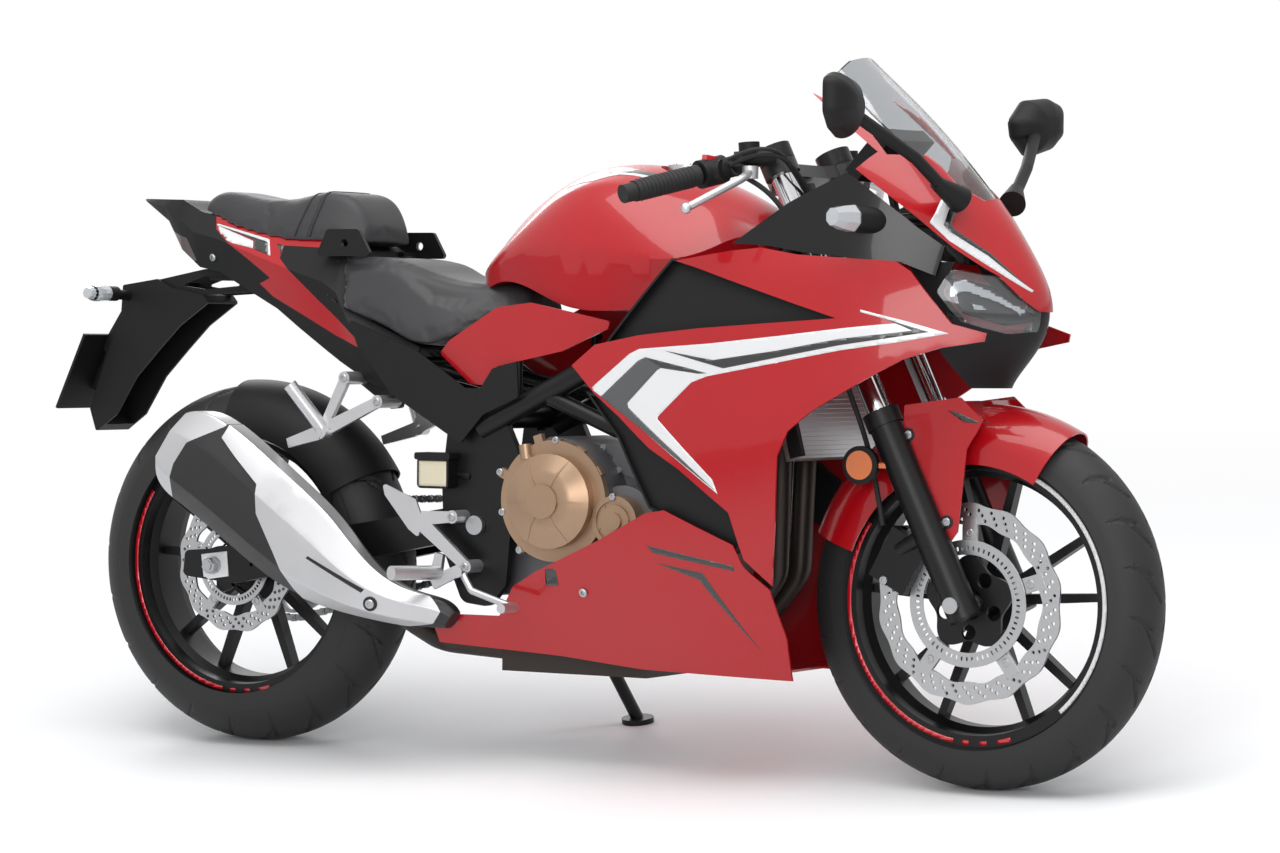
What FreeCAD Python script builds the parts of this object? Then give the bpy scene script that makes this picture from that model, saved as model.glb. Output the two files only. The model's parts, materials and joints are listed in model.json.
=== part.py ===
import FreeCAD, Part
import math
import os

# A fully faired middleweight sport bike, parked on its side stand.
# It is drawn upright: X forward, Y to the rider's left, Z up, origin on the ground midway
# between the axles. At the end the whole bike leans onto the stand and moves so that the
# origin lies below the middle of its bounding box. All sizes are in millimetres.

# Chassis
WHEELBASE = 1410.0
RAKE_DEG = 25.5
TRAIL = 102.0
LEAN_DEG = 9.5
FORK_SPREAD = 105.0
SWINGARM_LENGTH = 530.0
PIVOT_HEIGHT = 398.0

# Wheels and tyres
FRONT_TYRE_RADIUS = 300.0
FRONT_TYRE_HALF_WIDTH = 60.0
REAR_TYRE_RADIUS = 312.0
REAR_TYRE_HALF_WIDTH = 80.0
RIM_FLANGE_RADIUS = 230.0
FRONT_RIM_HALF_WIDTH = 49.0
REAR_RIM_HALF_WIDTH = 62.0
SPOKE_PAIRS = 5

# Brakes
FRONT_DISC_RADIUS = 160.0
FRONT_DISC_Y = -69.5
REAR_DISC_RADIUS = 120.0
REAR_DISC_Y = -74.0
DISC_THICKNESS = 5.0

# Final drive
CHAIN_PITCH = 15.875
FRONT_SPROCKET_TEETH = 15
REAR_SPROCKET_TEETH = 41
CHAIN_Y = 102.0
CHAIN_WIDTH = 17.0
CHAIN_PLATE_HEIGHT = 15.0

# Fork and bars
FORK_TUBE_RADIUS = 20.5
FORK_LEG_RADIUS = 27.0
GRIP_RADIUS = 17.0
BAR_RADIUS = 11.0
GRIP_LENGTH = 122.0
STEER_LIMIT_DEG = 31.0

# Body
PANEL_WALL = 4.0
SCREEN_WALL = 3.0
SEAT_HEIGHT = 785.0

# Running clearance between a part that moves and the part that carries it
RUNNING_GAP = 0.05
SEAT_GAP = 0.3

FRONT_AXLE_X = WHEELBASE / 2
REAR_AXLE_X = -WHEELBASE / 2
RAKE = math.radians(RAKE_DEG)
STEER_DIRECTION = FreeCAD.Vector(-math.sin(RAKE), 0, math.cos(RAKE))
STEER_FORWARD = FreeCAD.Vector(math.cos(RAKE), 0, math.sin(RAKE))
STEER_GROUND = FreeCAD.Vector(FRONT_AXLE_X + TRAIL, 0, 0)


def vec(x, y, z):
    return FreeCAD.Vector(x, y, z)


def cylinder(start, end, radius):
    axis = end - start
    return Part.makeCylinder(radius, axis.Length, start, axis)


def ring(start, end, outer, inner):
    return cylinder(start, end, outer).cut(cylinder(start, end, inner))


def cone(start, end, start_radius, end_radius):
    axis = end - start
    return Part.makeCone(start_radius, end_radius, axis.Length, start, axis)


def block(low, high):
    size = high - low
    return Part.makeBox(size.x, size.y, size.z, low)


def fuse(shapes):
    whole = shapes[0].multiFuse(shapes[1:])
    return whole.Solids[0] if len(whole.Solids) == 1 else whole


def group(shapes):
    return Part.makeCompound(shapes)


def mirrored(shape):
    """The same piece on the other side of the bike."""
    return shape.mirror(vec(0, 0, 0), vec(0, 1, 0))


def both_sides(shape):
    return group([shape, mirrored(shape)])


def rounded_wire(points, radii, closed=True):
    """A wire of straight runs with each corner rounded by an arc; radii is one number or one for each corner."""
    count = len(points)
    if not isinstance(radii, (list, tuple)):
        radii = [radii] * count
    runs = []
    for i, corner in enumerate(points):
        end_point = not closed and i in (0, count - 1)
        if end_point or radii[i] == 0:
            runs.append((corner, None, corner))
            continue
        to_before = (points[i - 1] - corner).normalize()
        to_after = (points[(i + 1) % count] - corner).normalize()
        half = to_before.getAngle(to_after) / 2
        reach = radii[i] / math.tan(half)
        bisector = (to_before + to_after).normalize()
        middle = corner + bisector * (radii[i] / math.sin(half) - radii[i])
        runs.append((corner + to_before * reach, middle, corner + to_after * reach))
    edges = []
    for i, (arc_start, middle, arc_end) in enumerate(runs):
        if middle is not None:
            edges.append(Part.Arc(arc_start, middle, arc_end).toShape())
        following = runs[(i + 1) % count][0]
        if (closed or i < count - 1) and (following - arc_end).Length > 1e-6:
            edges.append(Part.LineSegment(arc_end, following).toShape())
    return Part.Wire(edges)


def side_prism(outline, y_from, y_to, radii=0):
    """A side view outline of (x, z) points, extruded along Y."""
    wire = rounded_wire([vec(x, y_from, z) for x, z in outline], radii)
    return Part.Face(wire).extrude(vec(0, y_to - y_from, 0))


def plan_prism(outline, z_from, z_to, radii=0):
    """A top view outline of (x, y) points, extruded along Z."""
    wire = rounded_wire([vec(x, y, z_from) for x, y in outline], radii)
    return Part.Face(wire).extrude(vec(0, 0, z_to - z_from))


def front_prism(outline, x_from, x_to, radii=0):
    """A front view outline of (y, z) points, extruded along X."""
    wire = rounded_wire([vec(x_from, y, z) for y, z in outline], radii)
    return Part.Face(wire).extrude(vec(x_to - x_from, 0, 0))


def pipe(points, radius, bend):
    """A round rod along straight runs joined by tangent arcs."""
    path = rounded_wire(points, bend, closed=False)
    start_circle = Part.Wire(Part.makeCircle(radius, points[0], points[1] - points[0]))
    return path.makePipeShell([start_circle], True, False)


def hollow_pipe(points, outer, inner, bend):
    return pipe(points, outer, bend).cut(pipe(points, inner, bend))


def spline(points):
    if len(points) == 2:
        return Part.LineSegment(points[0], points[1]).toShape()
    curve = Part.BSplineCurve()
    curve.interpolate(points)
    return curve.toShape()


def creased_wire(groups):
    """A closed wire of splines that meet at creases; each group starts where the one before it ends."""
    return Part.Wire([spline(points) for points in groups])


def loft(wires):
    return Part.makeLoft(wires, True, False)


def spin_profile(profile, centre):
    """A solid of revolution about the wheel axle; the profile holds (radius, y) points."""
    points = [centre + vec(0, y, radius) for radius, y in profile]
    face = Part.Face(Part.makePolygon(points + [points[0]]))
    return face.revolve(centre, vec(0, 1, 0), 360)


def turned_about_axle(shape, centre, angle):
    copy = shape.copy()
    copy.rotate(centre, vec(0, 1, 0), angle)
    return copy


def on_steering(along, ahead=0.0, side=0.0):
    """A point at a distance up the steering axis from the ground, ahead of the axis and to its side."""
    return STEER_GROUND + STEER_DIRECTION * along + STEER_FORWARD * ahead + vec(0, side, 0)


FRONT_AXLE = vec(FRONT_AXLE_X, 0, FRONT_TYRE_RADIUS)
REAR_AXLE = vec(REAR_AXLE_X, 0, REAR_TYRE_RADIUS)
FORK_OFFSET = (FRONT_AXLE - STEER_GROUND).dot(STEER_FORWARD)
AXLE_ALONG = (FRONT_AXLE - STEER_GROUND).dot(STEER_DIRECTION)
PIVOT = vec(REAR_AXLE_X + SWINGARM_LENGTH, 0, PIVOT_HEIGHT)


# Wheels

TYRE_WALL = 9.0
RIM_WALL = 5.0
BEAD_DEPTH = 14.0
AXLE_RADIUS = 8.0
FRONT_HUB_RADIUS = 28.0
REAR_HUB_RADIUS = 36.0
FRONT_HUB_HALF = 46.0
REAR_HUB_HALF = 60.0
FRONT_BOSS_RADIUS = 56.0
REAR_BOSS_RADIUS = 66.0
BOSS_HALF = 15.0
HUB_BORE = AXLE_RADIUS + RUNNING_GAP


def tyre(centre, radius, half_width, rim_half_width):
    """A radial tyre: round crown, bulging sidewalls and beads that seat on the rim."""
    crown_centre = radius - half_width
    bead = RIM_FLANGE_RADIUS - BEAD_DEPTH + RIM_WALL
    bead_y = rim_half_width - RIM_WALL - SEAT_GAP
    shoulder_r = crown_centre + half_width * math.sin(math.radians(8))
    shoulder_y = half_width * math.cos(math.radians(8))

    def at(r, y):
        return centre + vec(0, y, r)

    low_right = at(bead, -bead_y)
    low_left = at(bead, bead_y)
    flange_r = RIM_FLANGE_RADIUS + 3
    cavity_bead_y = bead_y - TYRE_WALL
    edges = [
        Part.LineSegment(low_right, at(flange_r, -bead_y)).toShape(),
        Part.LineSegment(at(flange_r, -bead_y), at(shoulder_r, -shoulder_y)).toShape(),
        Part.Arc(at(shoulder_r, -shoulder_y), at(radius, 0), at(shoulder_r, shoulder_y)).toShape(),
        Part.LineSegment(at(shoulder_r, shoulder_y), at(flange_r, bead_y)).toShape(),
        Part.LineSegment(at(flange_r, bead_y), low_left).toShape(),
        Part.LineSegment(low_left, at(bead, cavity_bead_y)).toShape(),
        Part.LineSegment(at(bead, cavity_bead_y), at(radius - 1.6 * TYRE_WALL, cavity_bead_y * 0.6)).toShape(),
        Part.LineSegment(
            at(radius - 1.6 * TYRE_WALL, cavity_bead_y * 0.6),
            at(radius - 1.6 * TYRE_WALL, -cavity_bead_y * 0.6),
        ).toShape(),
        Part.LineSegment(at(radius - 1.6 * TYRE_WALL, -cavity_bead_y * 0.6), at(bead, -cavity_bead_y)).toShape(),
        Part.LineSegment(at(bead, -cavity_bead_y), low_right).toShape(),
    ]
    return Part.Face(Part.Wire(edges)).revolve(centre, vec(0, 1, 0), 360)


def rim(centre, half_width, hub_radius, hub_half, boss_radius, offset_deg):
    """A cast wheel: dropped barrel, hub with a round boss and slim spokes that spread in pairs."""
    flange = RIM_FLANGE_RADIUS
    seat = flange - BEAD_DEPTH
    well = seat - 12
    barrel = spin_profile(
        [
            (flange, -half_width),
            (flange, -half_width + RIM_WALL),
            (seat, -half_width + RIM_WALL),
            (seat, -half_width + 22),
            (well, -half_width + 32),
            (well, half_width - 32),
            (seat, half_width - 22),
            (seat, half_width - RIM_WALL),
            (flange, half_width - RIM_WALL),
            (flange, half_width),
            (seat - RIM_WALL, half_width),
            (seat - RIM_WALL - 2, half_width - 20),
            (well - RIM_WALL, half_width - 32),
            (well - RIM_WALL, -half_width + 32),
            (seat - RIM_WALL - 2, -half_width + 20),
            (seat - RIM_WALL, -half_width),
        ],
        centre,
    )
    hub = ring(centre - vec(0, hub_half, 0), centre + vec(0, hub_half, 0), hub_radius, HUB_BORE)
    boss = ring(centre - vec(0, BOSS_HALF, 0), centre + vec(0, BOSS_HALF, 0), boss_radius, HUB_BORE)
    spokes = []
    spoke_top = well - RIM_WALL + 2
    for k in range(SPOKE_PAIRS):
        for side in (-1, 1):
            spoke = wheel_spoke(centre, boss_radius - 4, spoke_top, side)
            spokes.append(turned_about_axle(spoke, centre, offset_deg + k * 360.0 / SPOKE_PAIRS))
    return fuse([barrel, hub, boss] + spokes)


SPOKE_HUB_ANGLE = 12.0
SPOKE_RIM_ANGLE = 14.0
SPOKE_HUB_DEPTH = 26.0
SPOKE_RIM_DEPTH = 22.0
SPOKE_HALF_ROOT = 8.5
SPOKE_HALF_TIP = 6.5


def wheel_spoke(centre, inner_r, outer_r, side):
    """One tapered spoke of a pair; it leaves the hub beside its twin and spreads towards the rim."""

    def section(radius, angle, half, depth):
        lean = math.radians(angle * side)
        mid = centre + vec(radius * math.sin(lean), 0, radius * math.cos(lean))
        across = vec(math.cos(lean), 0, -math.sin(lean)) * half
        deep = vec(0, depth / 2, 0)
        corners = [mid - across - deep, mid + across - deep, mid + across + deep, mid - across + deep]
        return rounded_wire(corners, 0)

    return Part.makeLoft(
        [
            section(inner_r, SPOKE_HUB_ANGLE, SPOKE_HALF_ROOT, SPOKE_HUB_DEPTH),
            section(outer_r, SPOKE_RIM_ANGLE, SPOKE_HALF_TIP, SPOKE_RIM_DEPTH),
        ],
        True,
        True,
    )


DISC_LOBES = 10


def wave_disc(centre, y, radius, track_width, hub_radius, hub_half):
    """A brake disc with a waved edge, five carrier arms and a bolted ring at the hub."""
    wave = radius * 0.022
    side = -1 if y < 0 else 1
    low = centre + vec(0, y - DISC_THICKNESS / 2, 0)

    def waved(mean, amplitude):
        points = []
        steps = DISC_LOBES * 4
        for i in range(steps):
            angle = 2 * math.pi * i / steps
            r = mean + amplitude * math.cos(DISC_LOBES * angle)
            points.append(low + vec(r * math.sin(angle), 0, r * math.cos(angle)))
        curve = Part.BSplineCurve()
        curve.interpolate(points, PeriodicFlag=True)
        return Part.Wire(curve.toShape())

    outer = Part.Face(waved(radius - wave, wave)).extrude(vec(0, DISC_THICKNESS, 0))
    inner = Part.Face(waved(radius - wave - track_width, wave * 1.5)).extrude(vec(0, DISC_THICKNESS, 0))
    track = outer.cut(inner)
    face_y = y - side * DISC_THICKNESS / 2
    hub_face = side * (hub_half + SEAT_GAP)
    bolt_ring = hub_radius + 22.0
    mount = ring(centre + vec(0, hub_face, 0), centre + vec(0, face_y + side * DISC_THICKNESS, 0), bolt_ring, hub_radius * 0.8)
    arms = []
    arm_end = radius - track_width + wave
    for k in range(5):
        arm = block(
            centre + vec(-9, y - DISC_THICKNESS / 2, bolt_ring - 6),
            centre + vec(9, y + DISC_THICKNESS / 2, arm_end),
        )
        arms.append(turned_about_axle(arm, centre, 36 + k * 72))
    return fuse([track, mount] + arms)


def front_axle():
    """The spindle, its head and the two spacers between hub and fork legs."""
    inner = FORK_SPREAD - FORK_LEG_RADIUS - 1
    outer = FORK_SPREAD + FORK_LEG_RADIUS + SEAT_GAP
    shaft = cylinder(FRONT_AXLE - vec(0, outer, 0), FRONT_AXLE + vec(0, outer, 0), AXLE_RADIUS)
    head = cylinder(FRONT_AXLE - vec(0, outer + 9, 0), FRONT_AXLE - vec(0, outer, 0), 13)
    spacer = ring(
        FRONT_AXLE + vec(0, FRONT_HUB_HALF + 1, 0),
        FRONT_AXLE + vec(0, inner, 0),
        14,
        AXLE_RADIUS,
    )
    return fuse([shaft, head, spacer, mirrored(spacer)])


# Fork, yokes and bars

FORK_TOP = 1094.0
FORK_TUBE_BOTTOM = 560.0
FORK_LEG_TOP = 648.0
FORK_LEG_BOTTOM_OVERHANG = 24.0
UPPER_YOKE = 1064.0
LOWER_YOKE = 868.0
YOKE_THICKNESS = 22.0
HEAD_PIPE_RADIUS = 32.0
STEM_RADIUS = 14.0


def fork_leg():
    bottom = on_steering(AXLE_ALONG - FORK_LEG_BOTTOM_OVERHANG, FORK_OFFSET, -FORK_SPREAD)
    top = on_steering(FORK_LEG_TOP, FORK_OFFSET, -FORK_SPREAD)
    body = cylinder(bottom, top, FORK_LEG_RADIUS)
    bore = cylinder(
        on_steering(FORK_TUBE_BOTTOM, FORK_OFFSET, -FORK_SPREAD),
        on_steering(FORK_LEG_TOP + 1, FORK_OFFSET, -FORK_SPREAD),
        FORK_TUBE_RADIUS + SEAT_GAP,
    )
    axle_hole = cylinder(FRONT_AXLE - vec(0, 200, 0), FRONT_AXLE, AXLE_RADIUS)
    collar = ring(
        on_steering(FORK_LEG_TOP - 26, FORK_OFFSET, -FORK_SPREAD),
        on_steering(FORK_LEG_TOP, FORK_OFFSET, -FORK_SPREAD),
        FORK_LEG_RADIUS + 3,
        FORK_TUBE_RADIUS + SEAT_GAP,
    )
    return fuse([body, collar]).cut(fuse([bore, axle_hole]))


def fork_tube():
    return cylinder(
        on_steering(FORK_TUBE_BOTTOM + SEAT_GAP, FORK_OFFSET, -FORK_SPREAD),
        on_steering(FORK_TOP, FORK_OFFSET, -FORK_SPREAD),
        FORK_TUBE_RADIUS,
    )


def yoke(along, thickness):
    """A triple clamp: a waisted plate square to the steering axis with two clamps and the stem hole."""
    low = along
    clamp_radius = FORK_TUBE_RADIUS + 9
    clamps = []
    for side in (-1, 1):
        clamps.append(
            cylinder(
                on_steering(low, FORK_OFFSET, side * FORK_SPREAD),
                on_steering(low + thickness, FORK_OFFSET, side * FORK_SPREAD),
                clamp_radius,
            )
        )
    corners = [
        on_steering(low, FORK_OFFSET + 18, -FORK_SPREAD),
        on_steering(low, FORK_OFFSET + 4, -45),
        on_steering(low, FORK_OFFSET + 4, 45),
        on_steering(low, FORK_OFFSET + 18, FORK_SPREAD),
        on_steering(low, FORK_OFFSET - 22, FORK_SPREAD),
        on_steering(low, -30, 30),
        on_steering(low, -30, -30),
        on_steering(low, FORK_OFFSET - 22, -FORK_SPREAD),
    ]
    plate = Part.Face(rounded_wire(corners, [0, 20, 20, 0, 0, 20, 20, 0])).extrude(STEER_DIRECTION * thickness)
    holes = []
    for side in (-1, 1):
        holes.append(
            cylinder(
                on_steering(low - 1, FORK_OFFSET, side * FORK_SPREAD),
                on_steering(low + thickness + 1, FORK_OFFSET, side * FORK_SPREAD),
                FORK_TUBE_RADIUS,
            )
        )
    return fuse([plate] + clamps).cut(fuse(holes))


def yokes():
    """Upper and lower yokes with the steering stem between them."""
    upper = yoke(UPPER_YOKE, YOKE_THICKNESS)
    lower = yoke(LOWER_YOKE, YOKE_THICKNESS + 6)
    stem = cylinder(on_steering(LOWER_YOKE + 4), on_steering(UPPER_YOKE + YOKE_THICKNESS + 6), STEM_RADIUS)
    nut = cylinder(
        on_steering(UPPER_YOKE + YOKE_THICKNESS), on_steering(UPPER_YOKE + YOKE_THICKNESS + 12), 17
    )
    return fuse([upper, lower, stem, nut])


BAR_END = vec(241, -345, 944)
BAR_CLAMP_ALONG = UPPER_YOKE + YOKE_THICKNESS + 1.0
BAR_CLAMP_HEIGHT = 26.0
BAR_ROOT = on_steering(BAR_CLAMP_ALONG + BAR_CLAMP_HEIGHT / 2, FORK_OFFSET, -FORK_SPREAD)
BAR_DIRECTION = (BAR_END - BAR_ROOT).normalize()


def on_bar(from_end, side=1):
    """A point on the right bar at a distance inboard from its outer end; side -1 gives the left bar."""
    point = BAR_END - BAR_DIRECTION * from_end
    return vec(point.x, point.y * side, point.z)


def handlebar():
    clamp = ring(
        on_steering(BAR_CLAMP_ALONG, FORK_OFFSET, -FORK_SPREAD),
        on_steering(BAR_CLAMP_ALONG + BAR_CLAMP_HEIGHT, FORK_OFFSET, -FORK_SPREAD),
        FORK_TUBE_RADIUS + 9,
        FORK_TUBE_RADIUS,
    )
    bar = cylinder(BAR_ROOT + BAR_DIRECTION * (FORK_TUBE_RADIUS + 3), BAR_END, BAR_RADIUS)
    return fuse([clamp, bar])


BAR_WEIGHT_RADIUS = 15.0
BAR_WEIGHT_LENGTH = 22.0


def grip():
    """The rubber grip and the steel weight in the bar's end."""
    rubber = ring(on_bar(4), on_bar(4 + GRIP_LENGTH), GRIP_RADIUS, BAR_RADIUS)
    weight = cylinder(on_bar(4), on_bar(-BAR_WEIGHT_LENGTH + 4), BAR_WEIGHT_RADIUS)
    weight = weight.cut(cylinder(on_bar(5), on_bar(0), BAR_RADIUS))
    return fuse([rubber, weight])


SWITCH_BOX_LENGTH = 46.0
SWITCH_FROM_END = GRIP_LENGTH + 8.0


LEVER_TIP = vec(330, -330, 918)
LEVER_PIVOT_AHEAD = 46.0
PERCH_FROM_END = SWITCH_FROM_END + SWITCH_BOX_LENGTH + 2
PERCH_LENGTH = 20.0


def lever_pivot():
    return on_bar(PERCH_FROM_END + PERCH_LENGTH / 2) + vec(LEVER_PIVOT_AHEAD, -14, -8)


def switch_box():
    """The switch housing, the lever's perch and the cylinder ahead of it, clamped on the bar."""
    outer = cylinder(on_bar(SWITCH_FROM_END), on_bar(SWITCH_FROM_END + SWITCH_BOX_LENGTH), 23)
    snout = cylinder(on_bar(SWITCH_FROM_END + 16), on_bar(SWITCH_FROM_END + 16) + vec(26, 2, 4), 17)
    perch = cylinder(on_bar(PERCH_FROM_END - 3), on_bar(PERCH_FROM_END + PERCH_LENGTH), 17)
    perch_point = on_bar(PERCH_FROM_END + PERCH_LENGTH / 2)
    arm = cylinder(perch_point + vec(8, -4, 0), lever_pivot(), 9)
    barrel = cylinder(perch_point + vec(10, 0, 12), perch_point + vec(70, 26, 18), 13)
    cup = cylinder(perch_point + vec(32, 10, 14), perch_point + vec(30, 10, 40), 17)
    bar_room = cylinder(on_bar(SWITCH_FROM_END - 1), on_bar(PERCH_FROM_END + PERCH_LENGTH + 60), BAR_RADIUS)
    return fuse([outer, snout, perch, arm, barrel, cup]).cut(bar_room)


def lever():
    """The silver lever blade with its ball end."""
    pivot = lever_pivot()
    blade = pipe([pivot, pivot + vec(12, -46, -12), LEVER_TIP], 6.5, 30)
    hub = cylinder(pivot + vec(0, 0, 9), pivot - vec(0, 0, 11), 13)
    return fuse([hub, blade, Part.makeSphere(9, LEVER_TIP)]).cut(switch_box())


FENDER_CLEARANCE = 12.0
FENDER_WALL = 3.0
FENDER_FRONT_ANGLE = 30.0
FENDER_REAR_ANGLE = 70.0
FENDER_SKIRT = 20.0
FENDER_PLATE_Y = 98.0


def arch_profile(centre, crown, radius, drop):
    """A tyre-shaped outline: a half circle over straight sides of a given drop."""
    left = centre + vec(0, radius, crown)
    right = centre + vec(0, -radius, crown)
    down = vec(0, 0, -drop)
    edges = [
        Part.LineSegment(right + down, right).toShape(),
        Part.Arc(right, centre + vec(0, 0, crown + radius), left).toShape(),
        Part.LineSegment(left, left + down).toShape(),
        Part.LineSegment(left + down, right + down).toShape(),
    ]
    return Part.Face(Part.Wire(edges))


def turned_profile(profile, centre, from_deg, to_deg):
    turned = profile.revolve(centre, vec(0, 1, 0), to_deg - from_deg)
    turned.rotate(centre, vec(0, 1, 0), from_deg)
    return turned


def crown_arch(centre, crown, inner, wall, skirt, from_deg, to_deg):
    """A curved guard over a tyre: its section is revolved about the axle between two angles from the top."""
    profile = arch_profile(centre, crown, inner + wall, skirt).cut(arch_profile(centre, crown, inner, skirt + 1))
    return turned_profile(profile, centre, from_deg, to_deg)


FENDER_PLATE = [
    (602, 612),
    (700, 626),
    (740, 590),
    (712, 545),
    (706, 490),
    (698, 414),
    (681, 392),
    (669, 400),
    (634, 488),
    (600, 560),
]


def fender_plate():
    """The painted side of the mudguard that bolts to the front of the fork leg."""
    plate = side_prism(FENDER_PLATE, -FENDER_PLATE_Y - FENDER_WALL, -FENDER_PLATE_Y, 4)
    bridge = side_prism([(612, 606), (696, 620), (722, 590), (640, 566)], -FENDER_PLATE_Y, -20, 0)
    inner = FRONT_TYRE_HALF_WIDTH + FENDER_CLEARANCE
    crown = FRONT_TYRE_RADIUS - FRONT_TYRE_HALF_WIDTH
    tyre_room = turned_profile(arch_profile(FRONT_AXLE, crown, inner, crown - 40), FRONT_AXLE, -90, 90)
    return fuse([plate, bridge.cut(tyre_room)])


def fork_leg_room():
    """The solid space of the right fork leg and its collar."""
    leg = cylinder(
        on_steering(AXLE_ALONG - 60, FORK_OFFSET, -FORK_SPREAD),
        on_steering(FORK_LEG_TOP, FORK_OFFSET, -FORK_SPREAD),
        FORK_LEG_RADIUS,
    )
    collar = cylinder(
        on_steering(FORK_LEG_TOP - 26, FORK_OFFSET, -FORK_SPREAD),
        on_steering(FORK_LEG_TOP, FORK_OFFSET, -FORK_SPREAD),
        FORK_LEG_RADIUS + 3,
    )
    return fuse([leg, collar])


def front_fender():
    """A mudguard that follows the tyre's crown, with side plates bolted to the fork legs."""
    inner = FRONT_TYRE_HALF_WIDTH + FENDER_CLEARANCE
    crown = FRONT_TYRE_RADIUS - FRONT_TYRE_HALF_WIDTH
    arch = crown_arch(FRONT_AXLE, crown, inner, FENDER_WALL, FENDER_SKIRT, -FENDER_REAR_ANGLE, FENDER_FRONT_ANGLE)
    return fuse([arch, fender_plate(), mirrored(fender_plate())]).cut([fork_leg_room(), mirrored(fork_leg_room())])


def front_caliper():
    """A two-piston sliding caliper behind the right fork leg, over the disc's rear edge."""
    middle = FRONT_AXLE + vec(-112, FRONT_DISC_Y, 62)
    body = block(middle + vec(-36, -30, -42), middle + vec(32, 24, 46))
    body.rotate(middle, vec(0, 1, 0), 28)
    slot = cylinder(
        FRONT_AXLE + vec(0, FRONT_DISC_Y - DISC_THICKNESS / 2 - 6, 0),
        FRONT_AXLE + vec(0, FRONT_DISC_Y + DISC_THICKNESS / 2 + 6, 0),
        FRONT_DISC_RADIUS + 6,
    )
    lug = cylinder(FRONT_AXLE + vec(-60, -FORK_SPREAD, 110), middle + vec(0, -22, 20), 12)
    leg = cylinder(
        on_steering(AXLE_ALONG - 40, FORK_OFFSET, -FORK_SPREAD),
        on_steering(FORK_LEG_TOP, FORK_OFFSET, -FORK_SPREAD),
        FORK_LEG_RADIUS + SEAT_GAP,
    )
    return fuse([body, lug]).cut(fuse([slot, leg]))


# Frame, swingarm and running gear

SPAR_RADIUS = 19.0
PIVOT_PLATE_Y = 122.0
PIVOT_PLATE_THICKNESS = 14.0


def main_frame():
    """A steel backbone: head pipe, two spars per side down to the pivot plates and cross members."""
    head_low = on_steering(LOWER_YOKE + YOKE_THICKNESS + 12)
    head_high = on_steering(UPPER_YOKE - 6)
    head = cylinder(head_low, head_high, HEAD_PIPE_RADIUS)
    bore = cylinder(on_steering(LOWER_YOKE), on_steering(UPPER_YOKE + 50), STEM_RADIUS + RUNNING_GAP)
    tubes = []
    for side in (-1, 1):
        upper = [
            on_steering(988),
            vec(300, side * 92, 772),
            vec(40, side * 128, 662),
            vec(-172, side * 124, 560),
        ]
        lower = [
            on_steering(960),
            vec(326, side * 70, 770),
            vec(262, side * 128, 640),
            vec(100, side * 128, 560),
            vec(-40, side * 126, 616),
        ]
        tubes.append(pipe(upper, SPAR_RADIUS, 50))
        tubes.append(pipe(lower, SPAR_RADIUS - 5, 30))
    outline = [(-230, 600), (-130, 590), (-96, 520), (-108, 420), (-118, 300), (-150, 262), (-204, 268), (-240, 350), (-246, 470)]
    right_plate = side_prism(
        outline, -PIVOT_PLATE_Y - PIVOT_PLATE_THICKNESS / 2, -PIVOT_PLATE_Y + PIVOT_PLATE_THICKNESS / 2, 22
    )
    crosses = [
        cylinder(vec(-190, -PIVOT_PLATE_Y, 575), vec(-190, PIVOT_PLATE_Y, 575), 18),
        cylinder(vec(-182, -PIVOT_PLATE_Y, 290), vec(-182, PIVOT_PLATE_Y, 290), 14),
    ]
    frame = fuse([head] + tubes + [right_plate, mirrored(right_plate), stand_pin()] + crosses)
    pivot_hole = cylinder(PIVOT - vec(0, 200, 0), PIVOT + vec(0, 200, 0), 10)
    return frame.cut(fuse([bore, pivot_hole]))


ARM_INNER_FRONT = 86.0
ARM_INNER_REAR = 113.0
ARM_THICKNESS = 26.0
ARM_BEND_FRONT_X = -400.0
ARM_BEND_REAR_X = -560.0


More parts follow.
